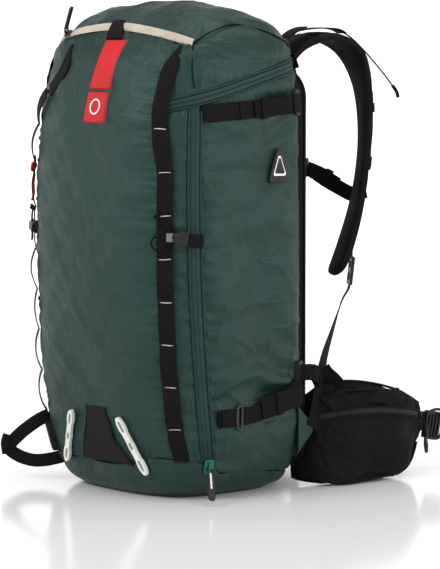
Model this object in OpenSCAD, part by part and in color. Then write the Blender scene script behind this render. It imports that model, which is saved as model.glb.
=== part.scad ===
// Ski touring backpack with a zipped lid, a front tool pocket and a padded harness.
// Origin at the middle of the flat base, +Z up, front of the pack towards -Y,
// the side with the long side zip towards +X, the wearer's side towards +Y.

/* [Pack body] */
// Height of the packed body
body_h = 603; // [580:1:620]
// Widest width of the packed body
body_w = 308; // [300:1:314]
// Depth from the front panel to the back sheet
body_d = 239; // [234:1:242]
// Thickness of the padded fabric panels
panel_t = 3; // [2:0.5:3.5]
// Clear seam between neighbouring panels
seam = 0.5; // [0.4:0.1:0.8]

/* [Back and frame] */
// Thickness of the padded back panel
back_t = 13; // [10:1:14]
// Width of the padded back panel
back_w = 272; // [260:1:280]
// Thickness of the plastic frame sheet
sheet_t = 1.6; // [1.2:0.1:1.8]
// Width of each aluminium stay
stay_w = 22; // [16:1:26]

/* [Webbing] */
// Width of the daisy chains and sternum strap
web_w = 20; // [18:1:22]
// Width of the side compression straps
side_web_w = 25; // [22:1:26]
// Thickness of the webbing
web_t = 1.6; // [1.2:0.1:1.8]

/* [Zips] */
// Width of one half of the main zip
zip_half = 7; // [6:0.5:8]
// Width of the side zip tape
side_zip_w = 16; // [14:1:18]
// Radius of the bow that the side zip follows
side_zip_bow = 1280; // [1200:10:1400]
// Radius of the arch that the front pocket zip follows
front_zip_bow = 266; // [264:1:268]

/* [Harness] */
// Width of the shoulder strap pads
pad_w = 60; // [54:1:62]
// Thickness of the shoulder strap pads
pad_t = 12; // [10:1:13]
// Thickness of the hip belt wings
wing_t = 13; // [10:1:14]
// Thickest part of the hip belt pockets
pocket_t = 22; // [16:1:24]

/* [Hidden] */
$fn = 32;

fabric = "darkslategray";
black = [0.12, 0.11, 0.11];
teal = [0.10, 0.28, 0.28];
off_white = [0.85, 0.86, 0.82];

// ---- Body surface --------------------------------------------------------

// Level sections of the packed body, in proportion to its three sizes:
// height, half width, front y, back y, squareness of the front and of the back
base_rows = [
    [0, 106, -76, 90, 2.9, 6],
    [7, 119, -86, 100, 3.0, 7],
    [24, 133, -95, 106, 3.1, 8],
    [62, 146, -105, 110, 3.2, 8],
    [130, 151, -117, 111, 3.1, 8],
    [250, 154, -126, 111, 3.0, 8],
    [400, 152, -127, 111, 3.0, 8],
    [470, 150, -121, 110, 3.0, 7],
    [520, 147, -105, 109, 3.2, 6],
    [545, 143, -93, 106, 3.3, 5.5],
    [565, 131, -79, 99, 3.3, 5],
    [585, 106, -54, 80, 3.2, 4],
    [597, 74, -28, 52, 3.0, 3.5],
    [603, 28, 0, 26, 2.6, 3]
];
rows = [for (r = base_rows) [r[0] * body_h / 603, r[1] * body_w / 308,
    r[2] * body_d / 239, r[3] * body_d / 239, r[4], r[5]]];
last_row = len(rows) - 1;

function unit(v) = v / norm(v);
function mixed(a, b, t) = a + (b - a) * t;
function eased(t) = let (c = min(1, max(0, t))) c * c * (3 - 2 * c);
function row_under(z, i = 0) = i >= last_row - 1 || z < rows[i + 1][0] ? i : row_under(z, i + 1);
function row_slope(i, c) = (rows[i + 1][c] - rows[i][c]) / (rows[i + 1][0] - rows[i][0]);
function row_tangent(i, c) =
    i == 0 ? row_slope(0, c) :
    i == last_row ? row_slope(last_row - 1, c) :
    let (before = rows[i][0] - rows[i - 1][0], after = rows[i + 1][0] - rows[i][0])
    (after * row_slope(i - 1, c) + before * row_slope(i, c)) / (before + after);

// One column of the section table at height z, on a smooth curve
function profile(z, c) =
    let (i = row_under(z), h = rows[i + 1][0] - rows[i][0], t = (z - rows[i][0]) / h,
        a = rows[i][c], b = rows[i + 1][c],
        ta = row_tangent(i, c) * h, tb = row_tangent(i + 1, c) * h)
    (2 * t ^ 3 - 3 * t ^ 2 + 1) * a + (t ^ 3 - 2 * t ^ 2 + t) * ta
    + (3 * t ^ 2 - 2 * t ^ 3) * b + (t ^ 3 - t ^ 2) * tb;
function mid_y(z) = (profile(z, 2) + profile(z, 3)) / 2;
function half_d(z) = (profile(z, 3) - profile(z, 2)) / 2;

// Point of the body at polar angle a (-90 front, 0 right, 90 back) and height z
function skin_point(a, z) =
    let (n = profile(z, sin(a) < 0 ? 4 : 5), w = profile(z, 1), d = half_d(z),
        r = (abs(cos(a) / w) ^ n + abs(sin(a) / d) ^ n) ^ (-1 / n))
    [r * cos(a), mid_y(z) + r * sin(a), z];
function skin_normal(a, z) =
    unit(cross(skin_point(a + 1, z) - skin_point(a - 1, z),
        skin_point(a, z + 0.5) - skin_point(a, z - 0.5)));
function skin(a, z, off = 0) = skin_point(a, z) + off * skin_normal(a, z);
function angle_rate(a, z) = norm(skin_point(a + 1, z) - skin_point(a - 1, z)) / 2;

// Angle of the body point at height z that has the given x on the front,
// or the given y on the right side
function front_angle(x, z) =
    let (n = profile(z, 4)) atan2(
        -half_d(z) * (1 - abs(x / profile(z, 1)) ^ n) ^ (1 / n), x);
function side_angle(y, z) =
    let (v = y - mid_y(z), n = profile(z, v < 0 ? 4 : 5)) atan2(v,
        profile(z, 1) * (1 - abs(v / half_d(z)) ^ n) ^ (1 / n));
function beside(a, z, mm) = a + mm / angle_rate(a, z);

// Height where the body meets a plane that tilts from front to back
function plane_height(a, level, tilt) =
    let (z1 = level + tilt * skin_point(a, level)[1],
        z2 = level + tilt * skin_point(a, z1)[1])
    level + tilt * skin_point(a, z2)[1];
lid_level = 504;
lid_tilt = 0.25;
function lid_height(a) = plane_height(a, lid_level, lid_tilt);
function base_height(a) = plane_height(a, 30, -0.08);

// ---- Lines on the body ---------------------------------------------------

function daisy_x(z) = 124.5 - 9.5 * eased((z - 380) / 100) - 8 * eased((60 - z) / 40)
    + 2.5 * eased((z - 515) / 25);
function daisy_angle(z) = front_angle(daisy_x(z), z);

side_zip_axis = unit([0.837, 0.547, 0.02]);
side_zip_out = unit(cross(side_zip_axis, [0, 0, 1]));
side_zip_up = cross(side_zip_out, side_zip_axis);
side_zip_crest = [145.5, -72.5, 320];
side_zip_center = side_zip_crest - side_zip_bow * side_zip_out;
function side_zip_point(z) =
    let (turn = asin((z - side_zip_crest[2]) / side_zip_bow))
    side_zip_center + side_zip_bow * (cos(turn) * side_zip_out + sin(turn) * side_zip_up);
function side_zip_angle(z) =
    let (p = side_zip_point(z)) atan2(p[1] - mid_y(z), p[0]);

front_zip_crest = [0, -73, 571];
front_zip_lean = unit([0, -0.725, 0.688]);
front_zip_center = front_zip_crest - front_zip_bow * front_zip_lean;
function front_zip_point(turn) =
    front_zip_center + front_zip_bow * (cos(turn) * front_zip_lean + [sin(turn), 0, 0]);

// ---- Solid builders ------------------------------------------------------

function quads(list) = [for (q = list) each [[q[0], q[1], q[2]], [q[0], q[2], q[3]]]];

// Curved plate between an outer and an inner grid of points, grid[row][column]
module plate(outer, inner) {
    m = len(outer);
    n = len(outer[0]);
    s = m * n;
    polyhedron(concat([for (r = outer) each r], [for (r = inner) each r]), quads(concat(
        [for (i = [0:m - 2], j = [0:n - 2]) let (k = i * n + j) [k, k + n, k + n + 1, k + 1]],
        [for (i = [0:m - 2], j = [0:n - 2]) let (k = s + i * n + j) [k, k + 1, k + n + 1, k + n]],
        [for (i = [0:m - 2]) let (k = i * n) [s + k, s + k + n, k + n, k]],
        [for (i = [0:m - 2]) let (k = i * n + n - 1) [s + k, k, k + n, s + k + n]],
        [for (j = [0:n - 2]) [s + j, j, j + 1, s + j + 1]],
        [for (j = [0:n - 2]) let (k = s - n + j) [s + k, s + k + 1, k + 1, k]]
    )), convexity = 8);
}

// Closed loft through rings that turn anticlockwise about the way they advance
module loft(rings) {
    m = len(rings);
    n = len(rings[0]);
    polyhedron([for (r = rings) each r], concat(
        quads([for (i = [0:m - 2], j = [0:n - 1])
            [i * n + j, (i + 1) * n + j, (i + 1) * n + (j + 1) % n, i * n + (j + 1) % n]]),
        [for (j = [1:n - 2]) [0, j, j + 1]],
        [for (j = [1:n - 2]) [(m - 1) * n, (m - 1) * n + j + 1, (m - 1) * n + j]]
    ), convexity = 8);
}

// Grid of body points between two edge lines (angles) and two level lines (heights)
function skin_grid(left, right, low, high, cols, rows_n, off) =
    [for (i = [0:rows_n]) [for (j = [0:cols])
        let (t = j / cols, s = i / rows_n,
            a1 = mixed(left(250), right(250), t), z1 = mixed(low(a1), high(a1), s),
            a2 = mixed(left(z1), right(z1), t), z2 = mixed(low(a2), high(a2), s),
            a3 = mixed(left(z2), right(z2), t), z3 = mixed(low(a3), high(a3), s))
        skin(a3, z3, off)]];
module skin_plate(left, right, low, high, cols, rows_n, from, to) {
    plate(skin_grid(left, right, low, high, cols, rows_n, to),
        skin_grid(left, right, low, high, cols, rows_n, from));
}

// Children drawn with x along the body's level line, y up it and z out of it
module on_skin(a, z, off = 0) {
    out = skin_normal(a, z);
    along = unit(cross([0, 0, 1], out));
    up = cross(out, along);
    p = skin(a, z, off);
    multmatrix([for (k = [0:2]) [along[k], up[k], out[k], p[k]]]) children();
}
module mirrored() { mirror([1, 0, 0]) children(); }

// Points on a smooth curve through a list of rows of numbers
function curve_at(list, t) =
    let (n = len(list) - 1, u = min(n - 1e-6, max(0, t * n)), i = floor(u), f = u - i,
        a = list[max(0, i - 1)], b = list[i], c = list[i + 1], d = list[min(n, i + 2)])
    0.5 * (2 * b + (c - a) * f + (2 * a - 5 * b + 4 * c - d) * f ^ 2
        + (3 * b - a - 3 * c + d) * f ^ 3);
function curve(list, steps) = [for (i = [0:steps]) curve_at(list, i / steps)];

// Rings of a strap: each row is x, y, z, the turn of its width about Z, and its width
function strap_rings(list, thick, steps, power, sides) =
    let (c = curve(list, steps))
    [for (i = [0:steps])
        let (here = [c[i][0], c[i][1], c[i][2]],
            back = c[max(0, i - 1)], ahead = c[min(steps, i + 1)],
            way = unit([ahead[0] - back[0], ahead[1] - back[1], ahead[2] - back[2]]),
            flat = [cos(c[i][3]), sin(c[i][3]), 0],
            across = unit(flat - way * (flat * way)),
            face = cross(way, across))
        [for (j = [0:sides - 1])
            let (g = 360 * (j + 0.5) / sides, ca = cos(g), sa = sin(g),
                r = (abs(ca) ^ power + abs(sa) ^ power) ^ (-1 / power))
            here + across * r * ca * c[i][4] / 2 + face * r * sa * thick / 2]];
module strap(list, thick, steps, power = 5, sides = 12) {
    loft(strap_rings(list, thick, steps, power, sides));
}
// Webbing with a four-cornered section
module webbing(list, steps, thick = web_t) {
    loft(strap_rings(list, thick * sqrt(2), steps, 2, 4));
}
// Thin round cord along a list of points
module cord(list, steps, d) {
    c = curve(list, steps);
    loft([for (i = [0:steps])
        let (way = unit(c[min(steps, i + 1)] - c[max(0, i - 1)]),
            side = unit(cross(way, abs(way[2]) < 0.9 ? [0, 0, 1] : [1, 0, 0])),
            up = cross(way, side))
        [for (j = [0:7]) c[i] + d / 2 * (side * cos(45 * j) + up * sin(45 * j))]]);
}
// Flat block with rounded corners
module slab(w, h, t, r) {
    linear_extrude(t) union() {
        square([w - 2 * r, h], center = true);
        square([w, h - 2 * r], center = true);
        for (x = [-1, 1], y = [-1, 1]) translate([x * (w / 2 - r), y * (h / 2 - r)]) circle(r);
    }
}
// Flat frame buckle with a middle bar
module bar_buckle(w, h, t) {
    difference() {
        slab(w, h, t, 2.5);
        for (x = [-1, 1]) translate([x * w * 0.22, 0, -1])
            slab(w * 0.26, h - 8, t + 2, 0.8);
    }
}

// ---- Body panels ---------------------------------------------------------

edge_gap = seam / 2;
function under_lid(a) = lid_height(a) - edge_gap;
function under_zip(a) = lid_height(a) - zip_half - edge_gap;
function over_base(a) = base_height(a) + edge_gap;
daisy_line_right = function(z) daisy_angle(z);
daisy_line_left = function(z) -180 - daisy_angle(z);
zip_front_line = function(z) beside(side_zip_angle(z), z, -side_zip_w / 2);
zip_rear_line = function(z) beside(side_zip_angle(z), z, side_zip_w / 2);
corner_right = function(z) side_angle(98 - 6 * eased((24 - z) / 20), z);
corner_left = function(z) -180 - corner_right(z);

module front_panel() {
    color(fabric) skin_plate(
        function(z) beside(daisy_line_left(z), z, edge_gap),
        function(z) beside(daisy_line_right(z), z, -edge_gap),
        function(a) over_base(a), function(a) under_lid(a), 22, 22, -panel_t, 0);
}
module side_gusset_right() {
    color(fabric) skin_plate(
        function(z) beside(daisy_line_right(z), z, edge_gap),
        function(z) zip_front_line(z) - 0.15,
        function(a) over_base(a), function(a) under_zip(a), 4, 22, -panel_t, 0);
}
module side_panel_right() {
    color(fabric) skin_plate(
        function(z) zip_rear_line(z) + 0.15, corner_right,
        function(a) over_base(a), function(a) under_zip(a), 12, 22, -panel_t, 0);
}
module side_panel_left() {
    color(fabric) skin_plate(
        corner_left, function(z) beside(daisy_line_left(z), z, -edge_gap),
        function(a) over_base(a), function(a) under_zip(a), 16, 22, -panel_t, 0);
}
module side_zip_tape() {
    color(teal) skin_plate(zip_front_line, zip_rear_line,
        function(a) over_base(a), function(a) under_zip(a), 3, 22, -panel_t / 2 - 0.6, 0.6);
}

// Base cup: an exact flat plate inside a curved wall
base_plate_t = 2.4;
module bottom_panel() {
    color(fabric) union() {
        linear_extrude(base_plate_t) polygon(
            [for (a = [0:6:354]) let (p = skin_point(a, 0)) [p[0], p[1]] * 0.97]);
        base_wall();
    }
}
module base_wall() {
    cols = 56;
    outer = [for (i = [0:6]) [for (j = [0:cols - 1])
        let (a = 360 * j / cols) skin(a, mixed(0, base_height(a) - edge_gap, (i / 6) ^ 1.5))]];
    inner = [for (i = [0:6]) [for (j = [0:cols - 1])
        let (a = 360 * j / cols, p = outer[i][j], c = [0, mid_y(p[2]), p[2]])
        p - panel_t * 0.8 * unit(p - c)]];
    ring_wall(outer, inner);
}
// Closed wall between two stacks of closed rings, open at its top and its foot
module ring_wall(outer, inner) {
    m = len(outer);
    n = len(outer[0]);
    s = m * n;
    polyhedron(concat([for (r = outer) each r], [for (r = inner) each r]), quads(concat(
        [for (i = [0:m - 2], j = [0:n - 1]) let (k = i * n, l = (j + 1) % n)
            [k + j, k + n + j, k + n + l, k + l]],
        [for (i = [0:m - 2], j = [0:n - 1]) let (k = s + i * n, l = (j + 1) % n)
            [k + j, k + l, k + n + l, k + n + j]],
        [for (j = [0:n - 1]) let (l = (j + 1) % n) [s + j, j, l, s + l]],
        [for (j = [0:n - 1]) let (l = (j + 1) % n, k = s - n) [s + k + j, s + k + l, k + l, k + j]]
    )), convexity = 8);
}

// Padded back: a rounded slab whose top follows the zip line
back_y = 101;
back_low = 26;
back_high = 519;
lumbar_t = 11;
module back_panel() {
    color(black) union() {
        translate([0, back_y, (back_low + back_high) / 2]) rotate([-90, 0, 0])
            slab(back_w, back_high - back_low, back_t, 34);
        translate([0, back_y + back_t + 0.3, 66]) rotate([-90, 0, 0])
            slab(226, 92, lumbar_t, 26);
    }
}
sheet_y = back_y - 2 * sheet_t - 2.2;
module frame_sheet() {
    color("dimgray") translate([0, sheet_y, 272]) rotate([-90, 0, 0])
        slab(230, 460, sheet_t, 30);
}
module frame_stays() {
    color("silver") for (x = [-52, 52])
        translate([x, sheet_y + sheet_t + 0.2, 272]) rotate([-90, 0, 0])
            slab(stay_w, 440, 2.4, 6);
}
// Fabric wall between the front tool pocket and the main compartment
divider_y = -84;
module tool_divider() {
    color("gray") translate([0, divider_y, 252]) rotate([-90, 0, 0]) slab(226, 400, 1.6, 24);
}

// ---- Lid -----------------------------------------------------------------

lid_zip_start = 6;
function lid_edge(a) =
    let (front = a > 180 ? a - 360 : a, reach = abs(front + 90),
        stop = 90 + daisy_angle(480) + lid_zip_start / 2)
    lid_height(front) + edge_gap + (reach > stop ? zip_half : 0);
lid_top = 601.5 * body_h / 603;
module lid() {
    cols = 56;
    rings = 12;
    function level(i, a) = lid_top - (lid_top - lid_edge(a)) * (1 - i / rings) ^ 1.7;
    outer = [for (i = [0:rings]) [for (j = [0:cols - 1])
        let (a = -90 + 360 * (j + 0.5) / cols) skin(a, level(i, a))]];
    inner = [for (i = [0:rings]) [for (j = [0:cols - 1])
        let (a = -90 + 360 * (j + 0.5) / cols) skin(a, level(i, a), -panel_t)]];
    s = (rings + 1) * cols;
    top = rings * cols;
    center_y = mid_y(lid_top);
    color(fabric) polyhedron(concat([for (r = outer) each r], [for (r = inner) each r],
        [[0, center_y, lid_top + 1], [0, center_y, lid_top + 1 - panel_t]]),
        concat(quads(concat(
            [for (i = [0:rings - 1], j = [0:cols - 1]) let (k = i * cols, l = (j + 1) % cols)
                [k + j, k + cols + j, k + cols + l, k + l]],
            [for (i = [0:rings - 1], j = [0:cols - 1])
                let (k = s + i * cols, l = (j + 1) % cols)
                [k + j, k + l, k + cols + l, k + cols + j]],
            [for (j = [0:cols - 1]) let (l = (j + 1) % cols) [s + j, j, l, s + l]])),
            [for (j = [0:cols - 1]) let (l = (j + 1) % cols) [top + j, 2 * s, top + l]],
            [for (j = [0:cols - 1]) let (l = (j + 1) % cols)
                [s + top + j, s + top + l, 2 * s + 1]]), convexity = 8);
}

// Zip halves from the right daisy chain round the back to the left one
zip_end_right = function(z) daisy_angle(480) + lid_zip_start / 2 + 0.6;
zip_end_left = function(z) 180 - zip_end_right(z);
module main_zip_lower() {
    color(teal) skin_plate(zip_end_right, zip_end_left,
        function(a) under_zip(a) + edge_gap, function(a) under_lid(a), 44, 1,
        -panel_t / 2, 0.4);
}
module main_zip_upper() {
    color(teal) skin_plate(zip_end_right, zip_end_left,
        function(a) lid_height(a) + edge_gap, function(a) lid_height(a) + zip_half - edge_gap,
        44, 1, -panel_t / 2, 0.4);
}

// Front pocket zip: a narrow tape on the arch over the front of the lid
front_zip_from = -18.5;
front_zip_to = 26.2;
front_zip_w = 9;
module front_zip_tape() {
    steps = 24;
    function station(i) = front_zip_point(mixed(front_zip_from, front_zip_to, i / steps));
    function across(i, side, off) =
        let (p = station(i), a = atan2(p[1] - mid_y(p[2]), p[0]), out = skin_normal(a, p[2]),
            way = unit(station(i + 1) - station(i - 1)), up = unit(cross(out, way)))
        skin_point(a, p[2]) + up * side * front_zip_w / 2 + out * off;
    color([0.79, 0.72, 0.65]) plate(
        [for (side = [-1, 0, 1]) [for (i = [0:steps]) across(i, side, 2.6)]],
        [for (side = [-1, 0, 1]) [for (i = [0:steps]) across(i, side, 1.2)]]);
}

// Tab sewn down the front of the lid beside its middle, in a bright colour
red_tab_w = 38;
module red_tab() {
    color([0.85, 0.16, 0.15]) skin_plate(
        function(z) front_angle(0, z), function(z) front_angle(red_tab_w, z),
        function(a) lid_height(a) + 1, function(a) 553, 4, 12, 0.5, 2);
}
// Upper ends of the daisy chains and the black tab over the pocket zip
module lid_webbing() {
    color(black) union() {
        for (side = [0, 1]) mirror([side, 0, 0]) skin_plate(
            function(z) beside(daisy_angle(z), z, -web_w / 2),
            function(z) beside(daisy_angle(z), z, web_w / 2),
            function(a) lid_height(a) + 1, function(a) 538, 3, 8, 0.9, 0.9 + web_t);
        skin_plate(function(z) front_angle(-1, z), function(z) front_angle(28, z),
            function(a) 556, function(a) 580, 4, 6, 3.4, 5);
    }
}

// ---- Webbing and fittings on the body ------------------------------------

module daisy_chain_right() {
    color(black) skin_plate(
        function(z) beside(daisy_angle(z), z, -web_w / 2),
        function(z) beside(daisy_angle(z), z, web_w / 2),
        function(a) base_height(a) + 2, function(a) lid_height(a) - 1,
        3, 22, 0.9, 0.9 + web_t);
}
module daisy_chain_left() { mirrored() daisy_chain_right(); }

// Reinforced patches: the front guard, the loop's corner patch and the side patches
function guard_left(z) = -10 - 21 * eased((109 - z) / 70);
function guard_right(z) = 26 + 7 * eased((110 - z) / 30) + 28 * eased((80 - z) / 45);
module wear_patches() {
    color(black) union() {
        skin_plate(function(z) front_angle(guard_left(z), z),
            function(z) front_angle(guard_right(z), z),
            function(a) base_height(a) + 2, function(a) 110, 6, 8, 0.6, 1.6);
        mirrored() skin_plate(
            function(z) front_angle(88, z), function(z) front_angle(107, z),
            function(a) base_height(a) + 2, function(a) 62, 4, 4, 0.6, 1.6);
        for (side = [0, 1]) mirror([side, 0, 0]) on_skin(side_angle(57, 402), 402, 0.6)
            linear_extrude(1.8) polygon([[-9, -20], [11, -20], [2, 20], [-1, 20]]);
    }
}

// Side compression straps, with a ring tab at the lower front
function upper_strap_height(a) = plane_height(a, 469.6, 0.12);
function lower_strap_height(a) =
    let (y = skin_point(a, 110)[1]) 102 + 8 * eased((y + 10) / 80) + 24 * eased((y - 40) / 70);
ring_y = -10;
ring_z = 101;
module side_straps_right() {
    color(black) union() {
        skin_plate(function(z) side_angle(-58, z), function(z) side_angle(80.5, z),
            function(a) upper_strap_height(a) - side_web_w / 2,
            function(a) upper_strap_height(a) + side_web_w / 2, 14, 2, 0.9, 0.9 + web_t);
        skin_plate(function(z) side_angle(-40, z), function(z) side_angle(-17, z),
            function(a) ring_z - 11, function(a) ring_z + 11, 3, 2, 0.5, 0.5 + web_t);
        skin_plate(function(z) side_angle(1, z), function(z) side_angle(83.5, z),
            function(a) lower_strap_height(a) - side_web_w / 2 + 1,
            function(a) lower_strap_height(a) + side_web_w / 2 - 1, 10, 3, 0.9, 0.9 + web_t);
    }
}
module side_straps_left() { mirrored() side_straps_right(); }

// Hook buckles at the rear ends of the straps, two on each side
buckle_t = 4;
module strap_buckles() {
    color([0.08, 0.08, 0.08]) for (side = [0, 1]) mirror([side, 0, 0]) {
        on_skin(side_angle(91, 481), 481, 1.2) bar_buckle(17, 32, buckle_t);
        on_skin(side_angle(92, 144), 144, 1.2) bar_buckle(14, 36, buckle_t);
    }
}

// Ski and axe shaft holders: a shock cord with a cord lock, and a small hook
holder_z = 324;
holder_angle = daisy_angle(holder_z);
holder_off = 7.5;
lock_r = 4.5;
lock_l = 10;
lock_along = 7;
cord_d = 2.6;
module shaft_holder_right() {
    color(black) on_skin(holder_angle, holder_z, holder_off) union() {
        cord([[-9, 24, -4], [-3, 20, -1.5], [4, 13, -1], [lock_along, 6.4, 0]], 8, cord_d);
        cord([[lock_along, -6.4, 0], [5, -12, 0], [-4, -17, 0], [-13, -14, -1],
            [-16, -6, -1.5], [-12, 0, -2], [-6, 2, -2]], 14, cord_d);
        translate([27, -1, -3.6]) slab(20, 18, 4, 3);
    }
}
module shaft_holder_left() { mirrored() shaft_holder_right(); }
module cord_lock_right() {
    color("gray") on_skin(holder_angle, holder_z, holder_off)
        translate([lock_along, 0, 0]) rotate([90, 0, 0]) difference() {
            cylinder(h = lock_l, r = lock_r, center = true);
            cylinder(h = lock_l + 1, r = cord_d / 2 + 0.3, center = true);
            translate([0, 0, -1.8]) rotate([0, 90, 0]) cylinder(h = 9, r = 1.9);
        }
}
module cord_lock_left() { mirrored() cord_lock_right(); }
module cord_button_right() {
    color([0.2, 0.2, 0.2]) on_skin(holder_angle, holder_z, holder_off)
        translate([lock_along + 3.2, 1.8, 0]) rotate([0, 90, 0]) cylinder(h = 5, r = 1.5);
}
module cord_button_left() { mirrored() cord_button_right(); }

// Bright cord knotted on the left daisy chain
module red_cord() {
    color([0.85, 0.16, 0.15]) mirrored() on_skin(daisy_angle(385), 385, 6)
        cord([[10, 26, 0], [15, 20, 0], [13, 10, 1], [8, 2, 0], [12, -8, 1], [9, -18, 0],
            [12, -26, 1], [14, -30, 2]], 20, 3.4);
}

// Lower rear wings that hold the shoulder straps' webbing
anchor_x = 145.8;
module anchor_wings() {
    color(fabric) for (side = [0, 1]) mirror([side, 0, 0])
        translate([anchor_x, 0, 0]) rotate([90, 0, 90]) linear_extrude(3)
            polygon([[96, 104], [120, 80], [122, 75], [120, 70], [96, 46]]);
}

// Tabs with ladder buckles for the load lifters
lifter_x = 88;
module lifter_buckles() {
    color(black) for (side = [0, 1]) mirror([side, 0, 0]) translate([lifter_x, 0, 0]) union() {
        translate([-10, back_y + back_t + 0.4, 498]) cube([20, web_t, 38]);
        translate([0, back_y + back_t + 2.6, 547]) rotate([-72, 0, 0]) rotate(90)
            bar_buckle(22, 28, buckle_t);
    }
}

// Haul loop on the top of the back panel
haul_x = 17;
haul_z = 500;
haul_y = back_y + back_t + 3;
module haul_loop() {
    color(black) union() {
        webbing([[-haul_x, haul_y, haul_z, 0, 14], [-haul_x, haul_y + 4, haul_z + 30, 0, 14],
            [-haul_x + 5, haul_y + 14, haul_z + 47, -20, 14],
            [0, haul_y + 20, haul_z + 52, -90, 14],
            [haul_x - 5, haul_y + 14, haul_z + 47, -160, 14],
            [haul_x, haul_y + 4, haul_z + 30, -180, 14],
            [haul_x, haul_y, haul_z, -180, 14]], 24, 2.4);
        translate([0, haul_y, haul_z - 1]) rotate([0, 90, 0])
            cylinder(h = 2 * haul_x + 14, r = 1.6, center = true);
    }
}

// ---- Sliders, pulls, rings and toggles -----------------------------------

// Slider body with a bridge on top, drawn along y
module slider(w, l) {
    union() {
        slab(w, l, 3, 2);
        translate([-1.5, -l * 0.3, 2.9]) cube([3, l * 0.6, 3]);
    }
}
side_slider_z = 44;
slider_off = 1.4;
pin_high = 4.2;
pin_back = 3;
module side_slider() {
    color([0.05, 0.42, 0.34])
        on_skin(side_zip_angle(side_slider_z), side_slider_z, slider_off) difference() {
            slider(12, 18);
            translate([0, -pin_back, pin_high]) rotate([0, 90, 0])
                cylinder(h = 8, r = 1.2, center = true);
        }
}
// Pull tab on a pin across the slider's bridge, hanging along -y
module pull_tab(w, l, twist = 0) {
    rotate([0, 90, 0]) cylinder(h = 6, r = 0.9, center = true);
    for (x = [-1, 1]) translate([x * 3 - 0.8, -8, -0.9]) cube([1.6, 8.6, 1.8]);
    translate([0, -8, 0]) rotate(twist) translate([0, 1.5 - l / 2, -1.1]) slab(w, l, 2.2, 3);
}
side_pull_lift = 64;
module side_pull() {
    color(black) on_skin(side_zip_angle(side_slider_z), side_slider_z, slider_off)
        translate([0, -pin_back, pin_high]) rotate([-side_pull_lift, 0, 0]) pull_tab(8.4, 42, -18);
}

front_slider_turn = -18;
front_frame_p = front_zip_point(front_slider_turn);
front_frame_a = atan2(front_frame_p[1] - mid_y(front_frame_p[2]), front_frame_p[0]);
module at_front_slider() {
    out = skin_normal(front_frame_a, front_frame_p[2]);
    way = front_zip_point(front_slider_turn + 1) - front_zip_point(front_slider_turn - 1);
    side = unit(cross(way, out));
    along = cross(out, side);
    p = skin(front_frame_a, front_frame_p[2], 3.2);
    multmatrix([for (k = [0:2]) [side[k], along[k], out[k], p[k]]]) children();
}
module front_slider() {
    color("dimgray") at_front_slider() difference() {
        slider(9, 13);
        translate([0, 0, pin_high]) rotate([0, 90, 0]) cylinder(h = 8, r = 1.2, center = true);
    }
}
front_pull_lift = 140;
front_pull_twist = -35;
module front_pull() {
    color(black) at_front_slider() translate([0, 0, pin_high])
        rotate([-front_pull_lift, 0, 0]) pull_tab(7, 32, front_pull_twist);
}

main_slider_x = 34;
module main_slider_right() {
    color([0.05, 0.42, 0.34]) translate([main_slider_x, 0, 0])
        on_skin(90, lid_height(90), 1.2) rotate(90) union() {
            slider(11, 15);
            translate([0, -16, 1.6]) slab(7, 24, 2, 2);
        }
}
module main_slider_left() { mirrored() main_slider_right(); }

// Dog-bone toggle with three slots, long way along y
toggle_l = 79;
module toggle() {
    difference() {
        linear_extrude(4) union() {
            square([8.2, toggle_l - 12], center = true);
            for (y = [-1, 0, 1]) translate([0, y * (toggle_l / 2 - 13)]) scale([0.42, 1])
                circle(y == 0 ? 11 : 13);
        }
        for (y = [-1, 0, 1]) translate([0, y * (toggle_l / 2 - 13), -1])
            slab(y == 0 ? 4.6 : 4, y == 0 ? 10 : 15, 6, 1.9);
    }
}
toggle_right_x = 68;
toggle_left_x = 52;
toggle_z = 67;
toggle_off = 3;
toggle_lean = 26;
module tool_toggle_right() {
    color(off_white) on_skin(front_angle(toggle_right_x, toggle_z), toggle_z, toggle_off)
        rotate(toggle_lean) toggle();
}
module tool_toggle_left() {
    color(off_white) mirrored() on_skin(front_angle(toggle_left_x, toggle_z), toggle_z, toggle_off)
        rotate(toggle_lean) toggle();
}

// D-ring that swings on its straight side
ring_wire = 2;
module d_ring_right() {
    color("gray") on_skin(side_angle(ring_y, ring_z), ring_z, 4.4) union() {
        translate([-3, 0, 0]) rotate([90, 0, 0]) cylinder(h = 22, r = ring_wire, center = true);
        translate([-3, 0, 0]) rotate([0, 0, -90]) rotate_extrude(angle = 180)
            translate([11, 0]) circle(ring_wire);
    }
}
module d_ring_left() { mirrored() d_ring_right(); }

// Folded webbing loop at the lower left, standing out from the corner
loop_angle = 220;
loop_foot = [-126, -94, 0];
module axe_loop() {
    color(black) translate(loop_foot) rotate([90, 0, loop_angle]) translate([0, 0, -1.6])
        difference() {
            linear_extrude(3.2) polygon(
                [[1, 88], [27, 74], [51, 53], [49, 30], [12, 15], [1, 20]]);
            translate([0, 0, -1]) linear_extrude(6) polygon([[6, 70], [38, 44], [6, 33]]);
        }
}

// ---- Shoulder straps -----------------------------------------------------

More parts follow.
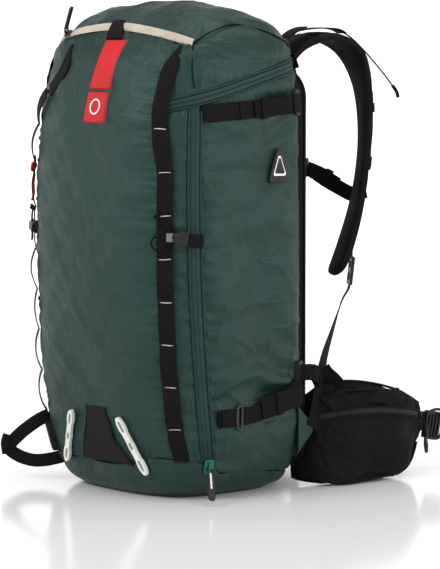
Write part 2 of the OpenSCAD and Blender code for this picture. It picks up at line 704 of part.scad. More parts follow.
// Centre line of the right pad: x, y, z, turn of its width about Z, width
pad_line = [
    [64, 123, 490, 0, pad_w - 10], [65, 127, 522, 0, pad_w - 4], [68, 148, 547, 0, pad_w],
    [71, 184, 559, 0, pad_w], [74, 216, 558, -5, pad_w], [78, 244, 543, -12, pad_w],
    [81, 260, 515, -22, pad_w], [83, 267, 478, -30, pad_w], [86, 265, 431, -35, pad_w],
    [89, 257, 384, -35, pad_w], [93, 243, 341, -32, pad_w - 3], [97, 223, 298, -28, pad_w - 9],
    [101, 201, 261, -25, pad_w - 18]
];
module shoulder_pad_right() { color(black) strap(pad_line, pad_t, 30, 4, 12); }
module shoulder_pad_left() { mirrored() shoulder_pad_right(); }
module ladder_lock_right() {
    color([0.08, 0.08, 0.08]) translate([100.5, 228.5, 263]) rotate([0, 0, -36])
        rotate([84, 0, 0]) translate([0, 0, -buckle_t / 2]) rotate(90)
            bar_buckle(36, 28, buckle_t);
}
module ladder_lock_left() { mirrored() ladder_lock_right(); }
module strap_webbing_right() {
    color(black) union() {
        webbing([[98.3, 240, 318, -28, 18], [100.2, 230, 296, -30, 18],
            [100.5, 228.6, 290, -33, 18], [100.5, 228.6, 285, -36, 18]], 8);
        webbing([[101.7, 224.8, 240.5, -36, 20], [106, 207, 224, -38, 20],
            [117, 182, 193, -46, 20], [130.5, 155, 160, -62, 20], [141, 138, 130, -76, 20],
            [146.6, 129, 102, -84, 18], [147.8, 128, 84, -88, 16]], 18);
    }
}
module strap_webbing_left() { mirrored() strap_webbing_right(); }
module load_lifter_right() {
    color(black) webbing([[lifter_x, 121, 558, 0, 20], [lifter_x - 3, 146, 568, 0, 20],
        [lifter_x - 8, 185, 571, 0, 20], [lifter_x - 11, 218, 571, -4, 20],
        [lifter_x - 12, 236, 565, -8, 20]], 12);
}
module load_lifter_left() { mirrored() load_lifter_right(); }

// Sternum strap: the right half carries a hook, the left half ends in a loop
module upright_band(list, steps, width, thick) {
    c = curve(list, steps);
    loft([for (i = [0:steps])
        let (way = unit(c[min(steps, i + 1)] - c[max(0, i - 1)]),
            out = unit(cross(way, [0, 0, 1])), up = cross(out, way))
        [for (q = [[-1, -1], [1, -1], [1, 1], [-1, 1]])
            c[i] + up * q[0] * width / 2 + out * q[1] * thick / 2]]);
}
module sternum_strap_right() {
    color(black) upright_band([[76, 278, 362], [66, 279, 360], [56, 274, 358], [28, 266, 369],
        [0, 262, 382], [-11, 260.8, 386]], 18, web_w, web_t);
}
module sternum_hook() {
    color([0.08, 0.08, 0.08]) translate([-24, 260, 389]) rotate([90, 0, 0])
        translate([0, 0, -2]) bar_buckle(18, 25, buckle_t);
}
module sternum_strap_left() {
    color(black) upright_band([[-76, 278, 367], [-66, 279, 371], [-55, 273, 379], [-39, 262.5, 388]],
        10, web_w, web_t);
}

// ---- Hip belt ------------------------------------------------------------

// Right wing: x and y of its outer face, and its lower and upper edges
wing_line = [
    [126, 122, 16, 106], [135, 132, 6, 119], [144, 152, 1.8, 128], [149, 190, 1.5, 128],
    [149, 232, 1.8, 121], [145, 272, 8, 110], [140, 300, 28, 98], [138, 318, 46, 88]
];
function wing_rings(list, steps, inside, outside) =
    let (c = curve(list, steps))
    [for (i = [0:steps])
        let (back = c[max(0, i - 1)], ahead = c[min(steps, i + 1)],
            way = unit([ahead[0] - back[0], ahead[1] - back[1], 0]),
            out = [way[1], -way[0], 0],
            low = inside(i / steps), high = outside(i / steps),
            mid = [c[i][0], c[i][1], (c[i][2] + c[i][3]) / 2] + out * (low + high) / 2)
        [for (j = [0:15])
            let (g = 360 * (j + 0.5) / 16, ca = cos(g), sa = sin(g),
                r = (abs(ca) ^ 3.5 + abs(sa) ^ 3.5) ^ (-1 / 3.5))
            mid - out * r * ca * (high - low) / 2 + [0, 0, r * sa * (c[i][3] - c[i][2]) / 2]]];
module hip_wing_right() {
    color(black) loft(wing_rings(wing_line, 18, function(t) -wing_t, function(t) 0));
}
module hip_wing_left() { mirrored() hip_wing_right(); }
pocket_line = [
    [141, 142, 5, 117], [147, 164, 1.8, 121], [149.5, 196, 1.8, 121], [149.3, 232, 2.6, 116],
    [146, 264, 6, 108], [142.5, 288, 19, 98], [141, 300, 34, 88]
];
module hip_pocket_right() {
    color([0.16, 0.15, 0.15]) loft(wing_rings(pocket_line, 14, function(t) 0.8,
        function(t) 4 + (pocket_t - 4) * sin(180 * (0.08 + 0.84 * t)) ^ 0.6));
}
module hip_pocket_left() { mirrored() hip_pocket_right(); }

// Side-release buckle halves on short webbing at the wing tips
module hip_tab() {
    upright_band([[136, 320, 64], [135.6, 324, 64], [135, 330, 62]], 4, side_web_w, 3);
}
module at_hip_buckle() {
    translate([134, 342.4, 57]) rotate([0, 0, 5]) rotate([90, 0, 90]) rotate(-12) children();
}
module hip_buckle_female() {
    color([0.08, 0.08, 0.08]) union() {
        hip_tab();
        at_hip_buckle() translate([0, 0, -5]) difference() {
            slab(24, 36, 10, 4);
            translate([4, 0, 3]) slab(30, 24, 4, 1);
        }
    }
}
module hip_buckle_male() {
    color([0.08, 0.08, 0.08]) mirrored() union() {
        hip_tab();
        at_hip_buckle() translate([0, 0, -2.5]) union() {
            translate([-8, 0, 0]) slab(8, 32, 5, 2);
            for (y = [-9, 0, 9]) translate([3, y, 1]) slab(16, 5, 3, 1.5);
        }
    }
}

front_panel();
side_gusset_right();
side_panel_right();
side_panel_left();
bottom_panel();
back_panel();
frame_sheet();
frame_stays();
tool_divider();
side_zip_tape();
main_zip_lower();
daisy_chain_right();
daisy_chain_left();
wear_patches();
side_straps_right();
side_straps_left();
strap_buckles();
shaft_holder_right();
shaft_holder_left();
red_cord();
anchor_wings();
lifter_buckles();
lid();
main_zip_upper();
front_zip_tape();
red_tab();
lid_webbing();
side_slider();
side_pull();
front_slider();
front_pull();
main_slider_right();
main_slider_left();
tool_toggle_right();
tool_toggle_left();
d_ring_right();
d_ring_left();
axe_loop();
cord_lock_right();
cord_button_right();
cord_lock_left();
cord_button_left();
shoulder_pad_right();
shoulder_pad_left();
strap_webbing_right();
strap_webbing_left();
ladder_lock_right();
ladder_lock_left();
load_lifter_right();
load_lifter_left();
sternum_strap_right();
sternum_hook();
sternum_strap_left();
hip_wing_right();
hip_wing_left();
hip_pocket_right();
hip_pocket_left();
hip_buckle_female();
hip_buckle_male();
haul_loop();
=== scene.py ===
import math

import bmesh
import bpy
import numpy as np
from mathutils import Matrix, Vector


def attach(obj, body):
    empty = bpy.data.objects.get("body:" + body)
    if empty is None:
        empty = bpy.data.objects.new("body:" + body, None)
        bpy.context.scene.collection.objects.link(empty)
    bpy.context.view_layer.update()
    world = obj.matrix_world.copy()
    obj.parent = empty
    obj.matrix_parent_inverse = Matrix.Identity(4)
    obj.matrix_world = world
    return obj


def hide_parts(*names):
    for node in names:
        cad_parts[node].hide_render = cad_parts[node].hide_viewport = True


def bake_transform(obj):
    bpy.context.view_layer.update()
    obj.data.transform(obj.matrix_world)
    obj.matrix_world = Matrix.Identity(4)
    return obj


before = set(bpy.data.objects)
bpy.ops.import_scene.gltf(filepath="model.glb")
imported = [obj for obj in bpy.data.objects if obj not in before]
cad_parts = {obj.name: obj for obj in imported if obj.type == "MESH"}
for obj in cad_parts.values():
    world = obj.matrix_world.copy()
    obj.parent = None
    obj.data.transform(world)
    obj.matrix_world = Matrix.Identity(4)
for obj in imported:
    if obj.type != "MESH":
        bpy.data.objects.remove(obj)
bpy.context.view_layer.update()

# ---- Body surface ---------------------------------------------------------
# Height, half width, front y, back y in metres, then the squareness of front and back
SECTIONS = np.array([
    [0.000, 0.106, -0.076, 0.090, 2.9, 6],
    [0.007, 0.119, -0.086, 0.100, 3.0, 7],
    [0.024, 0.133, -0.095, 0.106, 3.1, 8],
    [0.062, 0.146, -0.105, 0.110, 3.2, 8],
    [0.130, 0.151, -0.117, 0.111, 3.1, 8],
    [0.250, 0.154, -0.126, 0.111, 3.0, 8],
    [0.400, 0.152, -0.127, 0.111, 3.0, 8],
    [0.470, 0.150, -0.121, 0.110, 3.0, 7],
    [0.520, 0.147, -0.105, 0.109, 3.2, 6],
    [0.545, 0.143, -0.093, 0.106, 3.3, 5.5],
    [0.565, 0.131, -0.079, 0.099, 3.3, 5],
    [0.585, 0.106, -0.054, 0.080, 3.2, 4],
    [0.597, 0.074, -0.028, 0.052, 3.0, 3.5],
    [0.603, 0.028, 0.000, 0.026, 2.6, 3],
])
UP = np.array([0, 0, 1.0])
LEVELS = SECTIONS[:, 0]


def section_tangents():
    slope = np.diff(SECTIONS, axis=0) / np.diff(LEVELS)[:, None]
    tangent = np.vstack([slope[:1], slope])
    for i in range(1, len(LEVELS) - 1):
        before = LEVELS[i] - LEVELS[i - 1]
        after = LEVELS[i + 1] - LEVELS[i]
        tangent[i] = (after * slope[i - 1] + before * slope[i]) / (before + after)
    return tangent


TANGENTS = section_tangents()


def profile(z, column):
    z = np.asarray(z, float)
    i = np.clip(np.searchsorted(LEVELS, z, side="right") - 1, 0, len(LEVELS) - 2)
    h = LEVELS[i + 1] - LEVELS[i]
    t = (z - LEVELS[i]) / h
    a = SECTIONS[i, column]
    b = SECTIONS[i + 1, column]
    ta = TANGENTS[i, column] * h
    tb = TANGENTS[i + 1, column] * h
    start = (2 * t**3 - 3 * t**2 + 1) * a + (t**3 - 2 * t**2 + t) * ta
    return start + (3 * t**2 - 2 * t**3) * b + (t**3 - t**2) * tb


def middle(z):
    return (profile(z, 2) + profile(z, 3)) / 2


def angle_round(points, z):
    """Angle in degrees of points round the body's upright axis."""
    return np.degrees(np.arctan2(points[..., 1] - middle(z), points[..., 0]))


def half_depth(z):
    return (profile(z, 3) - profile(z, 2)) / 2


def on_body(angle, z):
    """Points of the body at polar angles in degrees (-90 front, 0 right, 90 back)."""
    turn = np.radians(angle)
    cos = np.cos(turn)
    sin = np.sin(turn)
    n = np.where(sin < 0, profile(z, 4), profile(z, 5))
    side = np.abs(cos / profile(z, 1)) ** n
    r = (side + np.abs(sin / half_depth(z)) ** n) ** (-1 / n)
    return np.stack([r * cos, middle(z) + r * sin, z + 0 * r], -1)


def unit(v):
    return v / np.maximum(np.linalg.norm(v, axis=-1, keepdims=True), 1e-12)


def normals_at(angle, z):
    around = on_body(angle + 0.5, z) - on_body(angle - 0.5, z)
    step = 0.0004
    return unit(np.cross(around, on_body(angle, z + step) - on_body(angle, z - step)))


def skin(angle, z, off=0.0):
    angle, z, off = np.broadcast_arrays(np.asarray(angle, float), z, off)
    return on_body(angle, z) + off[..., None] * normals_at(angle, z)


def front_angle(x, z):
    n = profile(z, 4)
    reach = np.clip(1 - np.abs(x / profile(z, 1)) ** n, 0, 1) ** (1 / n)
    return np.degrees(np.arctan2(-half_depth(z) * reach, x))


def side_angle(y, z):
    v = y - middle(z)
    n = np.where(v < 0, profile(z, 4), profile(z, 5))
    reach = np.clip(1 - np.abs(v / half_depth(z)) ** n, 0, 1) ** (1 / n)
    return np.degrees(np.arctan2(v, profile(z, 1) * reach))


def beside(angle, z, distance):
    """The angle a given distance along the level line from another angle."""
    rate = np.linalg.norm(on_body(angle + 1, z) - on_body(angle - 1, z), axis=-1) / 2
    return angle + distance / rate


def eased(t):
    c = np.clip(t, 0, 1)
    return c * c * (3 - 2 * c)


def mixed(a, b, t):
    return a + (b - a) * t


def tilted(angle, level, tilt):
    """Height where the body meets a plane that tilts from front to back."""
    z = level + 0 * angle
    for _ in range(3):
        z = level + tilt * on_body(angle, z)[..., 1]
    return z


def lid_height(angle):
    return tilted(angle, 0.504, 0.25)


def base_height(angle):
    lift = eased((angle + 75) / 35) * eased((-13 - angle) / 5)
    return tilted(angle, 0.030, -0.08) + 0.015 * lift


# ---- Lines on the body ----------------------------------------------------

def daisy_x(z):
    top = 0.0095 * eased((z - 0.380) / 0.100)
    foot = 0.008 * eased((0.060 - z) / 0.040)
    return 0.1245 - top - foot + 0.0025 * eased((z - 0.515) / 0.025)


def daisy_angle(z):
    return front_angle(daisy_x(z), z)


ZIP_AXIS = unit(np.array([0.837, 0.547, 0.02]))
ZIP_OUT = unit(np.cross(ZIP_AXIS, [0, 0, 1]))
ZIP_UP = np.cross(ZIP_OUT, ZIP_AXIS)
ZIP_BOW = 1.280
ZIP_CREST = np.array([0.1455, -0.0725, 0.320])


def side_zip_angle(z):
    turn = np.arcsin((np.asarray(z, float) - ZIP_CREST[2]) / ZIP_BOW)[..., None]
    p = ZIP_CREST + ZIP_BOW * ((np.cos(turn) - 1) * ZIP_OUT + np.sin(turn) * ZIP_UP)
    return angle_round(p, z)


ARCH_R = 0.266
ARCH_LEAN = unit(np.array([0, -0.725, 0.688]))
ARCH_CREST = np.array([0, -0.073, 0.571])
ARCH_SPAN = 26.2


def arch(share):
    """Angle and height on the body of the front pocket zip, share from -1 to 1."""
    turn = np.radians(ARCH_SPAN * np.asarray(share, float))[..., None]
    swing = np.sin(turn) * np.array([1.0, 0, 0]) + (np.cos(turn) - 1) * ARCH_LEAN
    p = ARCH_CREST + ARCH_R * swing
    z = p[..., 2]
    return angle_round(p, z), z


# ---- Soft shapes ----------------------------------------------------------

def waves(p, size, seed, count=7):
    """Smooth random field of about unit strength with features of a given size."""
    rng = np.random.default_rng(seed)
    total = np.zeros(p.shape[:-1])
    for _ in range(count):
        direction = unit(rng.normal(size=3)) * 2 * math.pi / (size * rng.uniform(0.7, 1.6))
        total += np.sin(p @ direction + rng.uniform(0, 2 * math.pi))
    return total / math.sqrt(count / 2)


def creases(p, size, seed, warp=0.35):
    """Folds with narrow ridges, from 0 in the valleys to 1 on a ridge."""
    bend = np.stack([waves(p, size * 1.7, seed + k, 4) for k in (11, 12, 13)], -1)
    field = waves(p + warp * size * bend, size, seed, 5)
    return 1 / (1 + (2.2 * field) ** 2)


def catmull(points, steps):
    p = np.asarray(points, float)
    n = len(p) - 1
    t = np.minimum(np.linspace(0, n, steps + 1), n - 1e-6)
    i = t.astype(int)
    f = (t - i)[:, None]
    a = p[np.maximum(i - 1, 0)]
    b = p[i]
    c = p[i + 1]
    d = p[np.minimum(i + 2, n)]
    return 0.5 * (2 * b + (c - a) * f + (2 * a - 5 * b + 4 * c - d) * f**2
                  + (3 * b - a - 3 * c + d) * f**3)


def along_of(path):
    ahead = np.vstack([path[1:], path[-1:]])
    back = np.vstack([path[:1], path[:-1]])
    return unit(ahead - back)


def length_of(path):
    steps = np.linalg.norm(np.diff(path, axis=0), axis=1)
    return np.concatenate([[0], np.cumsum(steps)])


# ---- Mesh building --------------------------------------------------------

def make(name, verts, faces, uvs, material, smooth_angle=50):
    mesh = bpy.data.meshes.new(name)
    mesh.from_pydata(np.asarray(verts).reshape(-1, 3).tolist(), [], faces)
    if uvs is not None:
        layer = mesh.uv_layers.new(name="metres")
        loops = np.zeros(len(mesh.loops), int)
        mesh.loops.foreach_get("vertex_index", loops)
        layer.data.foreach_set("uv", np.asarray(uvs, float).reshape(-1, 2)[loops].ravel())
    mesh.polygons.foreach_set("use_smooth", [True] * len(mesh.polygons))
    mesh.set_sharp_from_angle(angle=math.radians(smooth_angle))
    mesh.materials.append(material)
    obj = bpy.data.objects.new(name, mesh)
    bpy.context.scene.collection.objects.link(obj)
    return obj


def mm_line(points, steps):
    """A smooth line through points given in millimetres, in metres."""
    return catmull(points, steps) / 1000


def grid_faces(rows, cols, keep=None):
    faces = []
    for i in range(rows - 1):
        for j in range(cols - 1):
            if keep is not None and not keep[i, j]:
                continue
            k = i * cols + j
            faces.append((k, k + 1, k + cols + 1, k + cols))
    return faces


def sheet(name, points, uv, material, keep=None):
    rows, cols = points.shape[:2]
    return make(name, points, grid_faces(rows, cols, keep), uv, material)


def ring_uv(rings):
    m, k = rings.shape[:2]
    v = length_of(rings.mean(axis=1))
    hoop = np.linalg.norm(np.roll(rings, -1, axis=1) - rings, axis=2).mean(axis=0)
    u = np.concatenate([[0], np.cumsum(hoop)])
    return np.stack(np.broadcast_arrays(u[None, :], v[:, None]), -1).reshape(m, k + 1, 2)


def loft(name, rings, material, smooth_angle=50):
    """Closed skin over rings of points; each ring's first point is doubled for the seam."""
    m, k = rings.shape[:2]
    verts = np.concatenate([rings, rings[:, :1]], axis=1)
    faces = grid_faces(m, k + 1)
    faces.append(tuple(range(k))[::-1])
    faces.append(tuple((m - 1) * (k + 1) + j for j in range(k)))
    obj = make(name, verts, faces, ring_uv(rings), material, smooth_angle)
    return weld(obj)


def weld(obj, distance=1e-6):
    bm = bmesh.new()
    bm.from_mesh(obj.data)
    bmesh.ops.remove_doubles(bm, verts=bm.verts, dist=distance)
    bmesh.ops.recalc_face_normals(bm, faces=bm.faces)
    bm.to_mesh(obj.data)
    bm.free()
    return obj


def oval(count, power):
    g = 2 * math.pi * (np.arange(count) + 0.5) / count
    r = (np.abs(np.cos(g)) ** power + np.abs(np.sin(g)) ** power) ** (-1 / power)
    return np.stack([r * np.cos(g), r * np.sin(g)], -1)


def band_rings(path, across, width, thick, power=6, count=20):
    """Rings of a strap whose width lies along across."""
    way = along_of(path)
    across = unit(across - way * (across * way).sum(-1, keepdims=True))
    face = np.cross(way, across)
    shape = oval(count, power)
    width = np.broadcast_to(width, len(path))[:, None, None]
    thick = np.broadcast_to(thick, len(path))[:, None, None]
    wide = across[:, None, :] * shape[None, :, :1] * width / 2
    return path[:, None, :] + wide + face[:, None, :] * shape[None, :, 1:] * thick / 2


def band(name, path, across, width, thick, material, power=6, count=20):
    across = np.broadcast_to(np.asarray(across, float), path.shape)
    return loft(name, band_rings(path, across, width, thick, power, count), material)


def tube(name, path, radius, material, sides=8):
    way = along_of(path)
    helper = np.where(np.abs(way[:, 2:]) < 0.9, [[0, 0, 1.0]], [[1.0, 0, 0]])
    side = unit(np.cross(way, helper))
    for i in range(1, len(side)):
        side[i] = unit(side[i - 1] - way[i] * (side[i - 1] @ way[i]))
    up = np.cross(way, side)
    g = 2 * math.pi * np.arange(sides) / sides
    ring = np.cos(g)[None, :, None] * side[:, None] + np.sin(g)[None, :, None] * up[:, None]
    radius = np.broadcast_to(radius, len(path))[:, None, None]
    return loft(name, path[:, None] + radius * ring, material)


def join(name, objs):
    bpy.ops.object.select_all(action="DESELECT")
    for o in objs:
        o.select_set(True)
    bpy.context.view_layer.objects.active = objs[0]
    bpy.ops.object.join()
    objs[0].name = name
    objs[0].data.name = name
    return objs[0]


def mirror_copy(obj, name):
    copy = obj.copy()
    copy.data = obj.data.copy()
    copy.name = name
    bpy.context.scene.collection.objects.link(copy)
    for v in copy.data.vertices:
        v.co.x = -v.co.x
    copy.data.flip_normals()
    return copy


def place(obj, body, slot, *nodes):
    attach(obj, body)
    if nodes:
        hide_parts(*nodes)
    return obj


def place_pair(obj, body, slot, *nodes):
    """Place a right-hand piece and its mirror image on the left."""
    left = mirror_copy(obj, obj.name.replace("_right", "_left"))
    place(obj, body, slot, *nodes)
    place(left, body.replace("_right", "_left"), slot,
          *(n.replace("_right", "_left") for n in nodes))


def both_sides(*pieces):
    """The right-hand pieces, then their mirror images for the left."""
    yield "right", 1, pieces
    yield "left", -1, [mirror_copy(o, "x") for o in pieces]


def bend_with_lid(obj):
    """Fabric that crosses the lid's fold: its placement is baked into its mesh."""
    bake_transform(obj)


# ---- Materials ------------------------------------------------------------

def new_material(name):
    mat = bpy.data.materials.new(name)
    mat.use_nodes = True
    tree = mat.node_tree
    shader = tree.nodes["Principled BSDF"]
    return mat, tree, shader


def node(tree, kind, settings=None, **inputs):
    n = tree.nodes.new(kind)
    for key, value in (settings or {}).items():
        setattr(n, key, value)
    for key, value in inputs.items():
        socket = n.inputs[key.replace("_", " ")]
        if isinstance(value, bpy.types.NodeSocket):
            tree.links.new(value, socket)
        else:
            socket.default_value = value
    return n


def ramp(tree, value, low, high, a=0.0, b=1.0):
    n = tree.nodes.new("ShaderNodeMapRange")
    n.interpolation_type = "SMOOTHSTEP"
    tree.links.new(value, n.inputs["Value"])
    n.inputs["From Min"].default_value = low
    n.inputs["From Max"].default_value = high
    n.inputs["To Min"].default_value = a
    n.inputs["To Max"].default_value = b
    return n.outputs["Result"]


def combine(tree, operation, a, b):
    n = tree.nodes.new("ShaderNodeMath")
    n.operation = operation
    for socket, value in zip(n.inputs, (a, b)):
        if isinstance(value, bpy.types.NodeSocket):
            tree.links.new(value, socket)
        else:
            socket.default_value = value
    return n.outputs[0]


def blend_color(tree, fac, a, b):
    n = tree.nodes.new("ShaderNodeMix")
    n.data_type = "RGBA"
    tree.links.new(fac, n.inputs["Factor"])
    for socket, value in zip((n.inputs[6], n.inputs[7]), (a, b)):
        if isinstance(value, bpy.types.NodeSocket):
            tree.links.new(value, socket)
        else:
            socket.default_value = (*value, 1)
    return n.outputs[2]


def metres(tree):
    return tree.nodes.new("ShaderNodeUVMap").outputs[0]


def noise(tree, vector, scale, detail=3.0, rough=0.55):
    n = node(tree, "ShaderNodeTexNoise", Vector=vector, Scale=scale, Detail=detail,
             Roughness=rough)
    return n.outputs[0]


def threads(tree, vector, period, direction):
    settings = {"wave_type": "BANDS", "bands_direction": direction}
    n = node(tree, "ShaderNodeTexWave", settings, Vector=vector, Scale=0.314 / period,
             Distortion=0.0, Detail=0.0)
    return n.outputs["Fac"]


def stretched(tree, vector, x, y):
    n = node(tree, "ShaderNodeMapping", Vector=vector)
    n.inputs["Scale"].default_value = (x, y, 1)
    return n.outputs[0]


def bump_into(tree, shader, height, strength, distance):
    n = node(tree, "ShaderNodeBump", Height=height, Strength=strength, Distance=distance)
    tree.links.new(n.outputs[0], shader.inputs["Normal"])


def link(tree, output, shader, name):
    tree.links.new(output, shader.inputs[name])


def object_space(tree):
    return tree.nodes.new("ShaderNodeTexCoord").outputs["Object"]


def darker(color, k):
    return tuple(c * k for c in color)


def ripstop(name, color, cell=0.0052, roughness=0.44, grid=0.7, shine=0.34, tint=(1, 1, 1)):
    """Nylon with a fine grid of thicker threads, soft creases and uneven dye."""
    mat, tree, shader = new_material(name)
    uv = metres(tree)
    brick = node(tree, "ShaderNodeTexBrick", {"offset": 0.0}, Vector=uv, Scale=1 / cell)
    sizes = {"Brick Width": 1.0, "Row Height": 1.0, "Mortar Size": 0.075, "Mortar Smooth": 0.6}
    for key, value in sizes.items():
        brick.inputs[key].default_value = value
    lines = brick.outputs["Fac"]
    weave = combine(tree, "ADD", threads(tree, uv, 0.0007, "X"),
                    threads(tree, uv, 0.0007, "Y"))
    cloud = noise(tree, object_space(tree), 9.0, 4.0)
    fine = noise(tree, object_space(tree), 420.0, 2.0)
    shade = blend_color(tree, ramp(tree, cloud, 0.3, 0.7), darker(color, 0.84),
                        darker(color, 1.12))
    speck = combine(tree, "MULTIPLY", lines, combine(tree, "MULTIPLY", fine, 1.4))
    shade = blend_color(tree, combine(tree, "MULTIPLY", speck, grid), shade,
                        darker(color, 0.52))
    link(tree, shade, shader, "Base Color")
    link(tree, ramp(tree, fine, 0.25, 0.75, roughness - 0.08, roughness + 0.1), shader,
         "Roughness")
    shader.inputs["Specular IOR Level"].default_value = shine
    shader.inputs["Specular Tint"].default_value = (*tint, 1)
    soft = noise(tree, object_space(tree), 34.0, 5.0, 0.6)
    height = combine(tree, "ADD", combine(tree, "MULTIPLY", lines, 0.35),
                     combine(tree, "MULTIPLY", weave, 0.10))
    height = combine(tree, "ADD", height, combine(tree, "MULTIPLY", soft, 2.6))
    bump_into(tree, shader, height, 0.55, 0.0007)
    return mat


def webbing_material(name, color, rib=0.0011, roughness=0.72):
    """Woven tape: diagonal ribs over fine cross threads."""
    mat, tree, shader = new_material(name)
    uv = metres(tree)
    ribs = threads(tree, stretched(tree, uv, 1.0, 0.55), rib, "DIAGONAL")
    cross = threads(tree, uv, rib * 0.9, "Y")
    fuzz = noise(tree, object_space(tree), 900.0, 2.0)
    cloud = noise(tree, object_space(tree), 28.0, 3.0)
    shade = blend_color(tree, ramp(tree, ribs, 0.2, 0.9), darker(color, 0.62),
                        darker(color, 1.3))
    shade = blend_color(tree, ramp(tree, cloud, 0.3, 0.75, 0.0, 0.5), shade,
                        darker(color, 0.75))
    link(tree, shade, shader, "Base Color")
    link(tree, ramp(tree, fuzz, 0.2, 0.8, roughness - 0.1, roughness + 0.12), shader,
         "Roughness")
    shader.inputs["Specular IOR Level"].default_value = 0.11
    height = combine(tree, "ADD", combine(tree, "MULTIPLY", ribs, 0.7),
                     combine(tree, "MULTIPLY", cross, 0.5))
    height = combine(tree, "ADD", height, combine(tree, "MULTIPLY", fuzz, 0.3))
    bump_into(tree, shader, height, 0.6, 0.0004)
    return mat


def mesh_fabric(name, color, hole=0.0024):
    """Padded spacer mesh with small open cells."""
    mat, tree, shader = new_material(name)
    uv = metres(tree)
    cells = node(tree, "ShaderNodeTexVoronoi", Vector=stretched(tree, uv, 1, 0.8),
                 Scale=1 / hole, Randomness=0.25).outputs["Distance"]
    cloud = noise(tree, object_space(tree), 16.0, 4.0)
    shade = blend_color(tree, ramp(tree, cells, 0.15, 0.5), darker(color, 0.45),
                        darker(color, 1.15))
    shade = blend_color(tree, ramp(tree, cloud, 0.3, 0.7, 0.0, 0.45), shade,
                        darker(color, 0.8))
    link(tree, shade, shader, "Base Color")
    link(tree, ramp(tree, cloud, 0.3, 0.7, 0.72, 0.88), shader, "Roughness")
    shader.inputs["Specular IOR Level"].default_value = 0.12
    soft = noise(tree, object_space(tree), 55.0, 4.0)
    height = combine(tree, "ADD", combine(tree, "MULTIPLY", cells, 0.9),
                     combine(tree, "MULTIPLY", soft, 2.0))
    bump_into(tree, shader, height, 0.6, 0.0007)
    return mat


def moulded(name, color, roughness=0.42, grain=1400.0, wear=0.35, metal=0.0):
    """Plastic, rubber or metal with a fine grain and faint lighter scuffs."""
    mat, tree, shader = new_material(name)
    space = object_space(tree)
    fine = noise(tree, space, grain, 2.0)
    cloud = noise(tree, space, 60.0, 5.0, 0.65)
    scuff = ramp(tree, cloud, 0.55, 0.72, 0.0, wear)
    lighter = tuple(min(1.0, c * 1.5 + 0.003) for c in color)
    link(tree, blend_color(tree, scuff, color, lighter), shader, "Base Color")
    link(tree, ramp(tree, cloud, 0.3, 0.75, roughness - 0.08, roughness + 0.16), shader,
         "Roughness")
    shader.inputs["Metallic"].default_value = metal
    shader.inputs["Specular IOR Level"].default_value = 0.5 if metal else 0.32
    height = combine(tree, "ADD", fine, combine(tree, "MULTIPLY", cloud, 1.5))
    bump_into(tree, shader, height, 0.35, 0.0003)
    return mat


def coated_tape(name, color, roughness=0.46, coil=0.0016):
    """Coated zip tape: smooth, with the coil's teeth showing through as fine ribs."""
    mat, tree, shader = new_material(name)
    uv = metres(tree)
    teeth = threads(tree, uv, coil, "Y")
    cloud = noise(tree, object_space(tree), 40.0, 4.0)
    fine = noise(tree, object_space(tree), 700.0, 2.0)
    shade = blend_color(tree, ramp(tree, cloud, 0.3, 0.7), darker(color, 0.85),
                        darker(color, 1.15))
    shade = blend_color(tree, ramp(tree, teeth, 0.3, 0.9, 0.0, 0.35), shade,
                        darker(color, 0.7))
    link(tree, shade, shader, "Base Color")
    link(tree, ramp(tree, fine, 0.2, 0.8, roughness - 0.06, roughness + 0.12), shader,
         "Roughness")
    shader.inputs["Specular IOR Level"].default_value = 0.26
    height = combine(tree, "ADD", combine(tree, "MULTIPLY", teeth, 0.6),
                     combine(tree, "MULTIPLY", cloud, 0.8))
    bump_into(tree, shader, height, 0.5, 0.0004)
    return mat


GREEN = (0.0052, 0.0184, 0.0144)
BLACK = (0.0046, 0.0036, 0.0036)
TEAL = (0.0030, 0.0255, 0.0255)
SLIDER_GREEN = (0.004, 0.125, 0.085)
RED = (0.44, 0.008, 0.010)
BEIGE = (0.45, 0.385, 0.315)
PALE = (0.66, 0.68, 0.62)

shell = ripstop("shell_fabric", GREEN, shine=0.40, tint=(0.60, 1.0, 0.93))
seam_thread = webbing_material("seam_thread", darker(GREEN, 0.28), rib=0.0014)
guard = ripstop("guard_fabric", darker(BLACK, 1.2), cell=0.004, roughness=0.62, grid=0.3, shine=0.15)
flap = ripstop("black_fabric", darker(BLACK, 1.1), cell=0.004, roughness=0.72, grid=0.35, shine=0.12)
webbing = webbing_material("black_webbing", BLACK)
tack = webbing_material("bar_tack", (0.62, 0.62, 0.60), rib=0.0006)
pad_mesh = mesh_fabric("black_pad", darker(BLACK, 1.25))
lining = ripstop("inner_fabric", (0.075, 0.08, 0.08), cell=0.004, roughness=0.65)
teal_zip = coated_tape("teal_zip", TEAL)
teal_free = coated_tape("black_zip", darker(BLACK, 1.2), roughness=0.6)
beige_zip = coated_tape("beige_zip", BEIGE, roughness=0.5)
red_fabric = ripstop("red_fabric", RED, cell=0.003, roughness=0.5, grid=0.15, shine=0.25)
white_print = moulded("white_print", (0.72, 0.72, 0.70), roughness=0.5)
red_rope = webbing_material("red_cord", RED, rib=0.0014)
shock_cord = webbing_material("shock_cord", BLACK, rib=0.0014)
rubber = moulded("rubber_patch", (0.012, 0.012, 0.012), roughness=0.55)
slider_metal = moulded("slider_metal", SLIDER_GREEN, roughness=0.32, metal=0.35)
dark_metal = moulded("dark_metal", (0.05, 0.05, 0.05), roughness=0.35, metal=0.8)
pull_rubber = moulded("pull_plastic", (0.012, 0.012, 0.012), roughness=0.5)
plastic = moulded("buckle_plastic", (0.0060, 0.0060, 0.0062), roughness=0.46)
grey_plastic = moulded("grey_plastic", (0.13, 0.135, 0.135), roughness=0.42)
toggle_rubber = moulded("toggle_plastic", PALE, roughness=0.5)
steel = moulded("steel_ring", (0.5, 0.5, 0.5), roughness=0.28, metal=1.0)
sheet_plastic = moulded("frame_plastic", (0.05, 0.05, 0.05), roughness=0.45)
